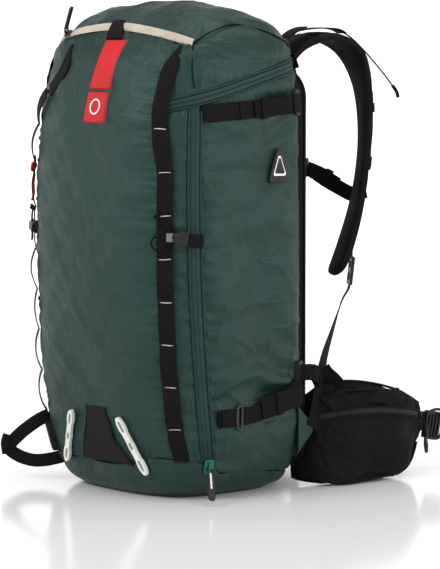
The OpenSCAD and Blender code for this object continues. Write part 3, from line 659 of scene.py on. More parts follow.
aluminium = moulded("stay_aluminium", (0.7, 0.7, 0.71), roughness=0.35, metal=1.0)

# ---- Sewn shell -----------------------------------------------------------

def panel_points(left, right, low, high, cols, rows):
    """Angles and heights of a grid between two edge lines and two level lines."""
    t = np.linspace(0, 1, cols)[None, :]
    s = np.linspace(0, 1, rows)[:, None]
    angle = mixed(left(0.25 + 0 * s), right(0.25 + 0 * s), t)
    z = mixed(low(angle), high(angle), s)
    for _ in range(3):
        angle = mixed(left(z), right(z), t)
        z = mixed(low(angle), high(angle), s)
    return angle, z


def body_uv(z, points):
    """Distances along the level line from the front middle, and up the body."""
    step = np.linalg.norm(np.diff(points, axis=1), axis=2)
    across = np.concatenate([np.zeros((len(points), 1)), np.cumsum(step, axis=1)], axis=1)
    across -= across[:, across.shape[1] // 2][:, None]
    rise = np.linalg.norm(np.diff(points, axis=0), axis=2).mean(axis=1)
    up = z[0].mean() + np.concatenate([[0], np.cumsum(rise)])
    return np.stack([across, np.broadcast_to(up[:, None], across.shape)], -1)


def edge_distances(points):
    """Distances in metres of each grid point from the grid's four sides."""
    across = np.linalg.norm(np.diff(points, axis=1), axis=2)
    start = np.concatenate([np.zeros((len(points), 1)), np.cumsum(across, axis=1)], axis=1)
    up = np.linalg.norm(np.diff(points, axis=0), axis=2)
    foot = np.concatenate([np.zeros((1, points.shape[1])), np.cumsum(up, axis=0)], axis=0)
    return start, start[:, -1:] - start, foot, foot[-1:] - foot


def pucker(distance, along, seed, pitch=0.013, height=0.0011, reach=0.016):
    """Short gathers that run away from a seam and fade out."""
    p = np.stack([along, 0.2 * distance, 0 * along], -1)
    return height * np.exp(-distance / reach) * waves(p, pitch, seed, 5) * eased(distance / 0.004)


def cloth_relief(points, seed, size=0.075, depth=0.0012, fine=0.0002):
    """Soft folds and creases of a filled bag, in metres."""
    soft = waves(points, size, seed, 6)
    long = waves(points * np.array([0.7, 0.7, 1.5]), size * 0.55, seed + 2, 5)
    fold = creases(points, size * 1.3, seed + 3, warp=0.2)
    small = waves(points, size * 0.25, seed + 5, 6)
    return depth * (0.5 * soft + 0.22 * long + 0.35 * (fold - 0.4)) + fine * small


def pillow(distances, lift=0.0018, reach=0.012):
    """Panels stand up from their seams, which sit in a narrow valley."""
    nearest = np.minimum.reduce(distances)
    return lift * (1 - np.exp(-nearest / reach)) - 0.0007 * np.exp(-nearest / 0.0014)


def shell_panel(name, angle, z, seed, material, extra=None, gathers=(1, 1, 1, 1), **look):
    """A sewn panel of the shell: pillowed, creased and gathered along its four seams."""
    base = on_body(angle, z)
    edges = edge_distances(base)
    inward = eased(np.minimum.reduce(edges) / 0.02)
    off = pillow(edges) + inward * cloth_relief(base, seed, **look)
    level = base[..., 0] + base[..., 1]
    lines = (base[..., 2], base[..., 2], level, level)
    for k, (distance, line, amount) in enumerate(zip(edges, lines, gathers)):
        off += amount * pucker(distance, line, seed + 20 + k)
    if extra is not None:
        off += extra(z, base)
    points = base + off[..., None] * normals_at(angle, z)
    return sheet(name, points, body_uv(z, base), material)


ZIP_HALF = 0.007
SIDE_ZIP_W = 0.016


def zip_front(z):
    return beside(side_zip_angle(z), z, -SIDE_ZIP_W / 2)


def zip_rear(z):
    return beside(side_zip_angle(z), z, SIDE_ZIP_W / 2)


def corner(z):
    return side_angle(0.098 - 0.006 * eased((0.024 - z) / 0.020), z)


def under_zip(angle):
    return lid_height(angle) - ZIP_HALF


def front_grid(cols=190, rows=330):
    """Front panel from the base seam up to the front pocket zip."""
    share = np.linspace(-1, 1, cols)[None, :]
    rise = np.linspace(0, 1, rows)[:, None]
    arch_angle, arch_z = arch(share)
    base = base_height(-90 + 0 * share)
    for _ in range(2):
        base = base_height(front_angle(share * daisy_x(base), base))
    z = mixed(base, arch_z, rise)
    own = front_angle(share * daisy_x(z), z)
    return mixed(own, arch_angle, eased((z - 0.515) / (arch_z - 0.515))), z


def pull_lines(points, start, way, reach, spread, height, pitch, seed):
    """Tension folds that fan out from a point along a direction."""
    d = points - np.asarray(start)
    way = unit(np.asarray(way, float))
    along = d @ way
    off = d - along[..., None] * way
    aside = off[..., 2] + 0.4 * off[..., 0]
    fade = np.exp(-np.abs(aside) / (spread + 0.35 * np.abs(along))) * eased(1 - along / reach)
    fade *= eased(along / 0.012 + 0.4)
    phase = aside / (pitch * (1 + 1.2 * np.maximum(along, 0) / reach)) * 2 * math.pi
    return height * fade * np.cos(phase + seed)


def front_extra(z, p):
    low = creases(p * np.array([1.0, 1, 1.6]), 0.05, 71) * eased((0.135 - z) / 0.09)
    top = creases(p * np.array([1.3, 1, 0.9]), 0.045, 75) * eased((z - 0.44) / 0.07)
    return 0.0006 * low + 0.0006 * top - 0.0012 * eased((0.135 - z) / 0.03)


def side_extra(z, p):
    off = pull_lines(p, (0.15, 0.085, 0.478), (0, -1, -0.25), 0.13, 0.03, 0.0036, 0.026, 0.3)
    off += pull_lines(p, (0.15, 0.080, 0.140), (0, -1, 0.30), 0.13, 0.03, 0.0034, 0.026, 1.1)
    off += pull_lines(p, (0.15, 0.085, 0.478), (0, -0.6, -1), 0.17, 0.03, 0.0028, 0.034, 2.0)
    slack = creases(p * np.array([1.0, 1.0, 2.0]), 0.085, 79, warp=0.15) - 0.4
    off += 0.0016 * slack * eased((0.320 - z) / 0.12)
    dent = np.exp(-(((z - 0.478) / 0.016) ** 2)) + np.exp(-(((z - 0.115) / 0.018) ** 2))
    patch = np.exp(-(((p[..., 1] - 0.056) / 0.028) ** 2) - ((z - 0.402) / 0.034) ** 2)
    return off - 0.0012 * dent - 0.0028 * patch


def build_shell():
    angle, z = front_grid()
    front = shell_panel("front_fabric", angle, z, 7, shell, front_extra, depth=0.0015)
    bend_with_lid(front)
    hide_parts("front_panel")
    angle, z = panel_points(daisy_angle, zip_front, base_height, under_zip, 24, 300)
    gusset = shell_panel("gusset_fabric", angle, z, 5, shell, depth=0.0006)
    place(gusset, "pack", "shell_fabric", "side_gusset_right")
    angle, z = panel_points(zip_rear, corner, base_height, under_zip, 130, 300)
    right = shell_panel("side_fabric_right", angle, z, 7, shell, side_extra,
                        gathers=(1.3, 0.1, 0.9, 1.3), depth=0.0030)
    place(right, "pack", "shell_fabric", "side_panel_right")
    angle, z = panel_points(lambda z: 180 - corner(z), lambda z: 180 - daisy_angle(z),
                            base_height, under_zip, 150, 300)
    left = shell_panel("side_fabric_left", angle, z, 7, shell,
                       lambda h, p: side_extra(h, p * np.array([-1, 1, 1])),
                       gathers=(0.1, 1.3, 0.9, 1.3), depth=0.0030)
    place(left, "pack", "shell_fabric", "side_panel_left")
    angle, z = panel_points(zip_front, zip_rear, lambda a: 0.4650 + 0 * a, under_zip, 16, 20)
    cap = shell_panel("zip_cap_fabric", angle, z, 11, shell, gathers=(0, 0, 1, 0), depth=0)
    place(cap, "pack", "shell_fabric")


def base_cup():
    cols, rows = 360, 60
    angle = np.linspace(-180, 180, cols)[None, :] + np.zeros((rows, 1))
    rise = np.linspace(0, 1, rows)[:, None] ** 1.2
    z = mixed(0.0005 + 0 * angle, base_height(angle), rise)
    base = on_body(angle, z)
    foot = z / 0.03
    seam = base_height(angle) - z
    relief = cloth_relief(base, 15, size=0.05, depth=0.0014)
    off = eased(foot) * (relief + 0.0018 * (1 - np.exp(-seam / 0.01)))
    off += pucker(seam, base[..., 0] + base[..., 1], 33, height=0.0008, pitch=0.02)
    off -= 0.0008 * np.exp(-seam / 0.0014)
    points = base + off[..., None] * normals_at(angle, z)
    points[..., 2] = np.maximum(points[..., 2], 0.0002)
    wall = sheet("base_wall", points, body_uv(z, base), shell)
    floor_rings = [on_body(angle[:1], z[:1])[0] * np.array([k, k, 1]) for k in (1, 0.7, 0.35, 0.02)]
    floor_rings = np.array(floor_rings)
    floor_rings[..., 2] = 0.0002
    foot_face = sheet("base_floor", floor_rings, floor_rings[..., :2], shell)
    cup = join("base_fabric", [wall, foot_face])
    return place(cup, "pack", "shell_fabric", "bottom_panel")


def lid_grid(cols=420, rows=150):
    angle = np.linspace(-90, 270, cols)[None, :] + np.zeros((rows, 1))
    turn = np.where(angle > 180, angle - 360, angle)
    edge = lid_height(turn[:1]) + ZIP_HALF
    top = 0.6024
    rise = np.linspace(0, 1, rows)[:, None] ** 0.62
    return angle, top - (top - edge) * (1 - rise)


def in_front_pocket(points, angle, z):
    ends, heights = arch(np.linspace(-1, 1, 80))
    limit = np.interp(angle, ends, heights)
    return (np.abs(points[..., 0]) < daisy_x(z) - 0.003) & (z < limit - 0.0015)


def lid_extra(points, z):
    """The crown's corner folds and the seams from the zip arch to the back corners."""
    side = np.abs(points[..., 0])
    corner_fold = np.exp(-(((side - 0.118) / 0.012) ** 2)) * eased((z - 0.515) / 0.03)
    corner_fold *= eased((points[..., 1] + 0.075) / 0.02)
    front = np.exp(-(((points[..., 1] + 0.030) / 0.02) ** 2)) * eased((z - 0.56) / 0.02)
    long_fold = creases(points * np.array([1.0, 0.6, 1.2]), 0.06, 51)
    return 0.0020 * corner_fold * (long_fold - 0.2) - 0.0010 * front + 0.0009 * (long_fold - 0.4)


def build_lid():
    angle, z = lid_grid()
    turn = np.where(angle > 180, angle - 360, angle)
    base = on_body(turn, z)
    edge = z - z[:1]
    relief = cloth_relief(base, 45, size=0.08, depth=0.0022)
    off = eased(edge / 0.02) * (relief + lid_extra(base, z))
    off += 0.0018 * (1 - np.exp(-edge / 0.012)) - 0.0007 * np.exp(-edge / 0.0014)
    off += pucker(edge, base[..., 0] + base[..., 1], 47, height=0.0013)
    points = base + off[..., None] * normals_at(turn, z)
    keep = ~in_front_pocket(base, turn, z)
    crown = sheet("lid_fabric", points, np.stack([base[..., 0] * 1.15, base[..., 1] * 1.15], -1),
                  shell, keep[:-1, :-1])
    ring = points[-1]
    cap = np.array([mixed(ring, ring.mean(axis=0) + [0, 0, 0.0006], k) for k in (0, 0.5, 0.98)])
    top = sheet("lid_cap", cap, cap[..., :2] * 1.15, shell)
    lid = join("lid_fabric", [crown, top])
    weld(lid, 0.00005)
    return place(lid, "lid", "shell_fabric", "lid")


# ---- Zips -----------------------------------------------------------------

def strip_points(line_angle, line_z, profile_points):
    """A strip along a line on the body; each profile point is (offset across, height)."""
    center = on_body(line_angle, line_z)
    out = normals_at(line_angle, line_z)
    way = along_of(center)
    across = unit(np.cross(out, way))
    rows = []
    for aside, lift in profile_points:
        rows.append(center + across * aside + out * lift)
    return np.array(rows), center


def strip(name, line_angle, line_z, profile_points, material):
    points, center = strip_points(line_angle, line_z, profile_points)
    z = points[..., 2]
    lift = np.array([p[1] for p in profile_points])[:, None]
    points = skin(angle_round(points, z), z, lift)
    v = length_of(center)
    u = np.array([p[0] for p in profile_points])
    uv = np.stack(np.broadcast_arrays(u[:, None], v[None, :]), -1)
    return sheet(name, points, uv, material)


def bead(center, width, height, count=7):
    g = np.linspace(math.pi, 0, count)
    return [(center + width / 2 * math.cos(t), height * math.sin(t)) for t in g]


def build_side_zip():
    z = np.linspace(float(base_height(np.array(-30.0))) + 0.001, 0.4745, 300)
    angle = side_zip_angle(z)
    half = SIDE_ZIP_W / 2
    outer = [(x, h + 0.0004) for x, h in bead(-half, 0.0032, 0.0022)]
    flat = [(-half + 0.003, 0.0008), (-0.0011, 0.0015)]
    middle_line = [(-0.0004, 0.0013), (0, 0.0008), (0.0004, 0.0013)]
    flat_right = [(0.0011, 0.0015), (half - 0.003, 0.0008)]
    inner = [(x, h + 0.0004) for x, h in bead(half, 0.0032, 0.0022)]
    profile_points = outer + flat + middle_line + flat_right + inner
    tape = strip("side_zip", angle, z, profile_points, teal_zip)
    return place(tape, "pack", "teal_zip", "side_zip_tape")


def main_zip_line(shift, count=420):
    start = float(daisy_angle(np.array(0.480))) + 2.5
    angle = np.linspace(start, 180 - start, count)
    z = lid_height(angle)
    return angle, z + shift


def build_main_zips():
    angle, z = main_zip_line(0.0)
    low = [(x - 0.0072, h) for x, h in bead(0, 0.0030, 0.0022)]
    profile_low = low + [(-0.0050, 0.0012), (-0.0012, 0.0016), (-0.0002, 0.0010)]
    profile_high = [(-x, h) for x, h in reversed(profile_low)]
    low_tape = strip("main_zip_low", angle, z, profile_low, teal_zip)
    place(low_tape, "pack", "teal_zip", "main_zip_lower")
    high_tape = strip("main_zip_high", angle, z, profile_high, teal_zip)
    place(high_tape, "lid", "teal_zip", "main_zip_upper")


def build_front_zip():
    angle, z = arch(np.linspace(-1.0, 1.0, 220))
    half = 0.0045
    edge = [(-half, 0.0012), (-half + 0.0004, 0.0034), (-0.0016, 0.0036)]
    coil = [(x, 0.0034 + h) for x, h in bead(0, 0.0026, 0.0010)]
    profile_points = edge + coil + [(-x, h) for x, h in reversed(edge)]
    tape = strip("front_zip", angle, z, profile_points, beige_zip)
    return place(tape, "lid", "beige_zip", "front_zip_tape")


# ---- Webbing on the body --------------------------------------------------

HOLDER_LEVEL = 0.324
CORD_LEVEL = 0.385
TACK_START = 0.0905
TACK_STEP = 0.0517
TACKS = [TACK_START + TACK_STEP * k for k in range(8)] + [0.4918]


def daisy_lift(z, tall=1.0):
    """Height of the daisy chain over the fabric: loops between the bar tacks."""
    share = ((z - TACK_START) / TACK_STEP) % 1.0
    inside = (z > TACK_START) & (z < TACKS[-1])
    loop = np.sin(math.pi * share) ** 0.8
    k = np.floor((z - TACK_START) / TACK_STEP)
    high = 0.0030 + 0.0022 * (0.5 + 0.5 * np.sin(2.3 * k + 0.7))
    high = high * (1 - 0.75 * np.exp(-(((z - HOLDER_LEVEL) / 0.022) ** 2)))
    return 0.0024 + np.where(inside, tall * high * loop, 0)


def daisy_line(z, side):
    """Angle of the right or left daisy chain; the left one leans in at the top."""
    if side == 1:
        return daisy_angle(z)
    return -180 - daisy_angle(z) + 2.0 + 19.0 * eased((z - 0.455) / 0.075)


def tack_bars(levels, side, width=0.0140):
    bars = []
    for k, level in enumerate(levels):
        z = np.full(14, level) + 0.0006 * np.sin(np.linspace(0, 3, 14) + k)
        angle = beside(daisy_line(z, side), z, np.linspace(-width / 2, width / 2, 14))
        path = skin(angle, z, 0.0024 + 0.0010)
        bars.append(band(f"bar{k}", path, (0, 0, 1.0), 0.0011, 0.0009, tack, 3, 8))
    return join("bar_tacks", bars)


def build_daisies():
    low = float(base_height(np.array(-50.0))) + 0.001
    for side, name, tall in ((1, "right", 1.0), (-1, "left", 1.4)):
        z = np.linspace(low, 0.5500, 420)
        angle = daisy_line(z, side)
        across = np.cross(UP, normals_at(angle, z))
        width = 0.0200 * (1 - 0.70 * eased((z - 0.522) / 0.028))
        chain = band(f"daisy_{name}", skin(angle, z, daisy_lift(z, tall)), across, width, 0.0017,
                     webbing)
        marks = tack_bars(TACKS, side)
        marks.name = f"bar_tacks_{name}"
        for o in (chain, marks):
            bend_with_lid(o)
        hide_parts(f"daisy_chain_{name}", "lid_webbing")


# ---- Straps and patches on the body ---------------------------------------

def side_path(y_from, y_to, height, lift, count=90):
    """A line round the right side at a height that depends on y."""
    y = np.linspace(y_from, y_to, count)
    z = height(y)
    angle = side_angle(y, z)
    return skin(angle, z, lift(y) if callable(lift) else lift), normals_at(angle, z)


def side_band(name, y_from, y_to, height, lift, width, thick=0.0016):
    path, out = side_path(y_from, y_to, height, lift)
    across = np.cross(out, along_of(path))
    return band(name, path, across, width, thick, webbing)


def upper_height(y):
    return 0.4740 + 0.061 * y


def lower_height(y):
    return 0.102 + 0.008 * eased((y + 0.010) / 0.080) + 0.024 * eased((y - 0.040) / 0.070)


def wavy(base, amount, size, seed):
    def lift(y):
        p = np.stack([y, 0 * y, 0 * y], -1)
        return base + amount * (0.6 + 0.4 * waves(p, size, seed, 4))
    return lift


def upper_strap():
    width = 0.022
    long = side_band("s1", -0.060, 0.0865, upper_height, wavy(0.0040, 0.0010, 0.06, 3), width)
    fold = side_band("s2", -0.010, 0.073, upper_height, wavy(0.0060, 0.0012, 0.05, 8), width)
    tail = side_band("s3", 0.012, 0.070, upper_height, wavy(0.0084, 0.0012, 0.06, 5), width * 0.94)
    keeper = side_band("s4", 0.022, 0.030, upper_height, 0.0106, width + 0.004, 0.0020)
    end = side_band("s5", 0.0800, 0.1000, upper_height, 0.0060, width, 0.0016)
    return [long, fold, tail, keeper, end]


def lower_strap():
    ring = lambda y: 0.101 + 0 * y
    tab = side_band("l1", -0.040, -0.0125, ring, 0.0034, 0.022)
    fold = side_band("l2", -0.036, -0.0135, ring, 0.0056, 0.021)
    wrap = side_band("l3", -0.0045, 0.030, lower_height, 0.0062, 0.021)
    long = side_band("l4", -0.0045, 0.0885, lower_height, wavy(0.0038, 0.0008, 0.05, 9), 0.023)
    flat = lambda y: 0.106 + 0.16 * y
    tail = side_band("l5", 0.024, 0.0925, flat, wavy(0.0072, 0.0018, 0.05, 4), 0.026)
    keeper = side_band("l6", 0.046, 0.055, flat, 0.0110, 0.0290, 0.0020)
    return [tab, fold, wrap, long, tail, keeper]


def rear_loop():
    """Webbing that leaves the lower buckle and curls back behind the shoulder strap."""
    path = mm_line([[148.5, 97, 146], [152, 105, 147], [153.5, 114, 146], [151.5, 123, 142],
                    [146, 126, 137], [141, 123, 134]], 60)
    return band("l7", path, (0.05, 0, 1.0), 0.0205, 0.0018, webbing)


def build_side_straps():
    right = join("side_webbing_right", upper_strap() + lower_strap() + [rear_loop()])
    place_pair(right, "pack", "black_webbing", "side_straps_right")


def front_patch(name, left, right, low, high, lift, material, cols=30, rows=50):
    """A thin patch on the front between two lines of x, each a function of height."""
    t = np.linspace(0, 1, cols)[None, :]
    z = np.linspace(low, high, rows)[:, None] + 0 * t
    x = mixed(left(z), right(z), t)
    angle = front_angle(x, z)
    tall = np.linspace(0, 1, rows)[:, None]
    rim = np.minimum(4 * t * (1 - t), 4 * tall * (1 - tall))
    off = lift * eased(rim * 6) + 0.0004 * eased(rim * 3)
    uv = np.stack([x, z], -1)
    return sheet(name, skin(angle, z, off), uv, material)


RED_MIDDLE = 0.0185
RED_HALF = 0.0195


def build_red_tab():
    left = lambda z: RED_MIDDLE - RED_HALF + 0 * z
    right = lambda z: RED_MIDDLE + RED_HALF + 0 * z
    upper = front_patch("red_upper", left, right, 0.4965, 0.5580, 0.0040, red_fabric)
    lower = front_patch("red_lower", left, right, 0.4570, 0.4950, 0.0036, red_fabric)
    ring_turn = np.linspace(0, 2 * math.pi, 60)
    x = RED_MIDDLE + 0.0085 * np.cos(ring_turn)
    z = 0.4765 + 0.0085 * np.sin(ring_turn)
    path = skin(front_angle(x, z), z, 0.0040)
    mark = tube("mark", path, 0.0011, white_print, 6)
    for o in (upper, lower, mark):
        bend_with_lid(o)
    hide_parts("red_tab")
    black = front_patch("zip_tab", lambda z: -0.002 - 0.5 * (z - 0.556),
                        lambda z: 0.031 - 1.0 * (z - 0.556), 0.5560, 0.5785, 0.0056, webbing)
    place(black, "lid", "black_webbing")


def guard_left(z):
    return -0.010 - 0.021 * eased((0.109 - z) / 0.070)


def guard_right(z):
    return 0.026 + 0.007 * eased((0.111 - z) / 0.030) + 0.028 * eased((0.080 - z) / 0.045)


def triangle_patch():
    """Raised rubber triangle with a pale rim line, apex up."""
    middle_y, middle_z = 0.056, 0.4045
    corners = [(-0.0185, -0.020), (0.0185, -0.020), (0.0030, 0.021), (-0.0030, 0.021)]
    solids = []
    for scale, lift, material in ((1.0, 0.0026, rubber), (0.60, 0.0031, white_print),
                                  (0.47, 0.0034, rubber)):
        outline = catmull([mixed(np.array(a), np.array(b), t) for a, b in
                           zip(corners, corners[1:] + corners[:1]) for t in (0.12, 0.5, 0.88)]
                          + [mixed(np.array(corners[0]), np.array(corners[1]), 0.12)], 72)
        outline = outline[:-1] * scale
        rings = []
        for share, h in ((1.0, 0.0), (0.995, lift * 0.8), (0.97, lift), (0.5, lift), (0.02, lift)):
            y = middle_y + outline[:, 0] * share
            z = middle_z + outline[:, 1] * share
            rings.append(skin(side_angle(y, z), z, h))
        solids.append(loft(f"tri{lift}", np.array(rings), material, smooth_angle=35))
    return solids


def build_patches():
    low = float(base_height(np.array(-90.0))) + 0.002
    guard_sheet = front_patch("guard_patch", guard_left, guard_right, low, 0.111, 0.0030, guard)
    rim_z = np.linspace(low, 0.110, 60)
    rims = []
    for k, line in enumerate((guard_left, guard_right)):
        x = line(rim_z)
        rims.append(tube(f"rim{k}", skin(front_angle(x, rim_z), rim_z, 0.0024), 0.0009, guard, 6))
    guard_sheet = join("guard_patch", [guard_sheet] + rims)
    place(guard_sheet, "pack", "rubber_patch", "wear_patches")
    foot = front_patch("loop_patch", lambda v: -0.134 + 0 * v, lambda v: -0.094 - 0.1 * v,
                       low, 0.078, 0.0075, guard)
    place(foot, "pack", "rubber_patch")
    place_pair(join("triangle_right", triangle_patch()), "pack", "rubber_patch")


# ---- Shaft holders and cords ----------------------------------------------

def frame_on_skin(angle, level, lift):
    """Origin and the across, up and out axes of a spot on the body."""
    angle, z = np.array(angle), np.array(level)
    out = normals_at(angle, z)
    along = unit(np.cross(UP, out))
    return skin(angle, z, lift), along, np.cross(out, along), out


def in_axes(points, origin, along, up, out):
    """Points given in mm along three axes, as points in space."""
    p = np.asarray(points, float) / 1000
    return origin + p[:, :1] * along + p[:, 1:2] * up + p[:, 2:] * out


def holder_frame():
    return frame_on_skin(float(daisy_angle(np.array(HOLDER_LEVEL))), HOLDER_LEVEL, 0.0075)


def in_frame(points):
    return in_axes(points, *holder_frame())


def build_holders():
    upper = catmull(in_frame([(-9, 24, -4.4), (-3, 20, -1.5), (4, 13, 0), (7, 5, 0)]), 40)
    loop = catmull(in_frame([(7, -5, 0), (5, -12, 0), (-4, -17, 0), (-13, -14, -1),
                             (-16, -6, -1.5), (-12, 0, -2), (-6, 2, -2)]), 70)
    knot = catmull(in_frame([(-12, 25, -3), (-8, 27, 0), (-6, 24, 0), (-9, 22, -1),
                             (-12, 24, 1)]), 24)
    cords = [tube("c0", upper, 0.0013, shock_cord), tube("c1", loop, 0.0013, shock_cord),
             tube("c2", knot, 0.0015, shock_cord)]
    up = holder_frame()[2]
    tab = band("c3", catmull(in_frame([(17, -1, -1), (24, -2, 0), (36, -4, -3), (46, -5, -6)]), 30),
               up, np.linspace(0.013, 0.018, 31), 0.0018, webbing)
    body_line = in_frame([(13.5, -0.5, 0.6), (18, -0.8, 1.0), (24, -1.4, 0.6), (29, -2, -0.6)])
    ring = band("c4", body_line, up, [0.009, 0.015, 0.017, 0.016], 0.0042, plastic, 5, 24)
    hook = catmull(in_frame([(13.5, 3.5, 1), (10.5, 2, 2.2), (10, -2, 2.2), (13.5, -4, 1)]), 20)
    bar = tube("c5", hook, 0.0013, plastic)
    right = join("shaft_holder_right", cords + [tab, ring, bar])
    place_pair(right, "pack", "black_webbing", "shaft_holder_right")


def left_daisy_points(points, level):
    """Points given across, up and out from the left daisy chain at a height, in mm."""
    angle = -180 - float(daisy_angle(np.array(level)))
    return in_axes(points, *frame_on_skin(angle, level, 0.006))


def build_red_cord():
    path = catmull(left_daisy_points([(-10, 26, 0), (-15, 20, 0), (-13, 10, 1), (-8, 2, 0),
                                      (-12, -8, 1), (-9, -18, 0), (-12, -26, 1), (-14, -30, 2)],
                                     CORD_LEVEL), 90)
    rope = tube("red_rope", path, 0.0017, red_rope, 10)
    knot = catmull(left_daisy_points([(-14, 14, -1), (-9, 17, 2), (-7, 11, 3), (-12, 8, 3),
                                      (-16, 12, 1), (-12, 16, 0)], CORD_LEVEL), 60)
    ball = tube("red_knot", knot, 0.0019, red_rope, 10)
    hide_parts("red_cord")
    length = float(length_of(path)[-1])
    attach(rope, "pack")
    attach(ball, "pack")
    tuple(path[0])


# ---- Harness --------------------------------------------------------------

PAD_T = 0.012
PAD_LINE = np.array([
    [64, 123, 490, 0, 50], [65, 127, 522, 0, 56], [68, 148, 547, 0, 60],
    [71, 184, 559, 0, 60], [74, 216, 558, -5, 60], [78, 244, 543, -12, 60],
    [81, 260, 515, -22, 60], [83, 267, 478, -30, 60], [86, 265, 431, -35, 60],
    [89, 257, 384, -35, 60], [93, 243, 341, -32, 57], [97, 223, 298, -28, 51],
    [101, 201, 261, -25, 42]], float)


def pad_axes(steps):
    """Centre, across, outward and width of the right shoulder pad along its length."""
    line = catmull(PAD_LINE, steps)
    center = line[:, :3] / 1000
    turn = np.radians(line[:, 3])
    way = along_of(center)
    flat = np.stack([np.cos(turn), np.sin(turn), 0 * turn], -1)
    across = unit(flat - way * (flat * way).sum(-1, keepdims=True))
    return center, across, -np.cross(way, across), line[:, 4] / 1000


def pad_end(share, least):
    """Narrowing of the pad's lower end, from 1 to least."""
    return np.sqrt(np.clip(1 - ((share - 0.965) / 0.035).clip(0, 1) ** 2, least, 1))


def pad_body(steps=260, count=64):
    center, across, out, width = pad_axes(steps)
    share = np.linspace(0, 1, steps + 1)
    g = 2 * math.pi * (np.arange(count) + 0.5) / count
    cos, sin = np.cos(g), np.sin(g)
    wide = np.sign(cos) * np.abs(cos) ** 0.62
    tall = np.sign(sin) * np.abs(sin) ** 0.75
    end = pad_end(share, 0.02)
    half_w = (width / 2 - 0.0012) * end
    half_t = PAD_T / 2 * (0.35 + 0.65 * end)
    rings = center[:, None] + across[:, None] * (half_w[:, None] * wide)[..., None]
    rings = rings + out[:, None] * (half_t[:, None] * tall)[..., None]
    v = np.broadcast_to(length_of(center)[:, None], rings.shape[:2])
    p = np.stack([np.broadcast_to(wide * 0.03, v.shape), v,
                  np.broadcast_to(tall * 0.01, v.shape)], -1)
    bend = np.exp(-(((share - 0.30) / 0.14) ** 2))[:, None]
    fold = creases(p * np.array([0.5, 1.6, 1]), 0.028, 61) - 0.35
    rings = rings + out[:, None] * (0.0011 * (0.3 + bend) * fold * np.abs(tall))[..., None]
    channel = np.exp(-((np.abs(wide) - 0.55) / 0.05) ** 2) * np.sign(tall)
    rings = rings - out[:, None] * (0.0007 * channel)[None, :, None]
    pad = loft("pad", rings, pad_mesh)
    pad.data.materials.append(flap)
    outer = [1 if (i % count) < count // 2 else 0 for i in range(len(pad.data.polygons))]
    pad.data.polygons.foreach_set("material_index", outer)
    return pad


def edge_binding(side, steps=240):
    center, across, out, width = pad_axes(steps)
    end = pad_end(np.linspace(0, 1, steps + 1), 0.0)
    path = center + across * (side * (width / 2 - 0.0004) * end)[:, None]
    return band("binding", path, out, 0.0078, 0.0026, webbing, 3, 14)


def pad_webbing(low, high, lift, width, seed, steps=300):
    center, across, out, _ = pad_axes(steps)
    a, b = int(low * steps), int(high * steps)
    v = length_of(center)
    p = np.stack([v, 0 * v, 0 * v], -1)
    height = PAD_T / 2 + lift + 0.0006 * waves(p, 0.05, seed, 4)
    path = (center + out * height[:, None])[a:b]
    return band("pad_web", path, across[a:b], width, 0.0017, webbing)


def slider_bar(name, share, width, lift, length=0.012):
    """A small plastic keeper across the pad."""
    center, across, out, _ = pad_axes(300)
    k = int(share * 300)
    way = along_of(center)[k]
    spot = center[k] + out[k] * (PAD_T / 2 + lift)
    path = np.array([spot - way * length / 2, spot, spot + way * length / 2])
    return band(name, path, across[k], width, 0.0034, plastic, 5, 16)


def build_shoulder_pads():
    pad = pad_body()
    edges = join("binding", [edge_binding(1), edge_binding(-1)])
    spine = join("spine", [pad_webbing(0.36, 0.955, 0.0012, 0.020, 4),
                           pad_webbing(0.56, 0.74, 0.0034, 0.018, 9)])
    keeper = join("pad_keepers", [slider_bar("k1", 0.60, 0.026, 0.004),
                                  slider_bar("k2", 0.72, 0.026, 0.003)])
    stems = ("shoulder_cushion", "binding", "spine", "pad_keepers")
    slots = ("black_pad", "black_webbing", "black_webbing", "buckle_plastic")
    for side, _, pieces in both_sides(pad, edges, spine, keeper):
        for o, stem, slot in zip(pieces, stems, slots):
            o.name = f"{stem}_{side}"
            place(o, f"strap_{side}", slot)
        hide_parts(f"shoulder_pad_{side}")


def strap_tails():
    """Webbing from the ladder lock to the anchor, the tab over it, and the free tail."""
    tab = mm_line([[98.3, 240, 318], [100.2, 230.5, 296], [100.5, 229.4, 287],
                   [100.5, 229.0, 276]], 40)
    low = mm_line([[101.0, 227, 251], [102.5, 222, 240], [106, 207, 224], [117, 182, 193],
                   [130, 155, 160], [140, 138, 130], [146.5, 126, 100], [149.2, 117, 77]], 120)
    tail = mm_line([[135, 147, 147], [138, 151, 140], [141.5, 157, 134], [144, 162, 128],
                    [145, 164, 123]], 50)
    share = np.linspace(0, 1, len(low))
    turn = np.radians(np.interp(share, [0, 0.3, 0.6, 1], [-36, -44, -66, -88]))
    across = np.stack([np.cos(turn), np.sin(turn), 0 * turn], -1)
    flat = (math.cos(math.radians(-36)), math.sin(math.radians(-36)), 0)
    width = np.linspace(0.0190, 0.0215, len(low))
    return [band("t0", tab, flat, 0.019, 0.0018, webbing),
            band("t1", low, across, width, 0.0016, webbing),
            band("t2", tail, (0.64, 0.77, 0), 0.0195, 0.0016, webbing)]


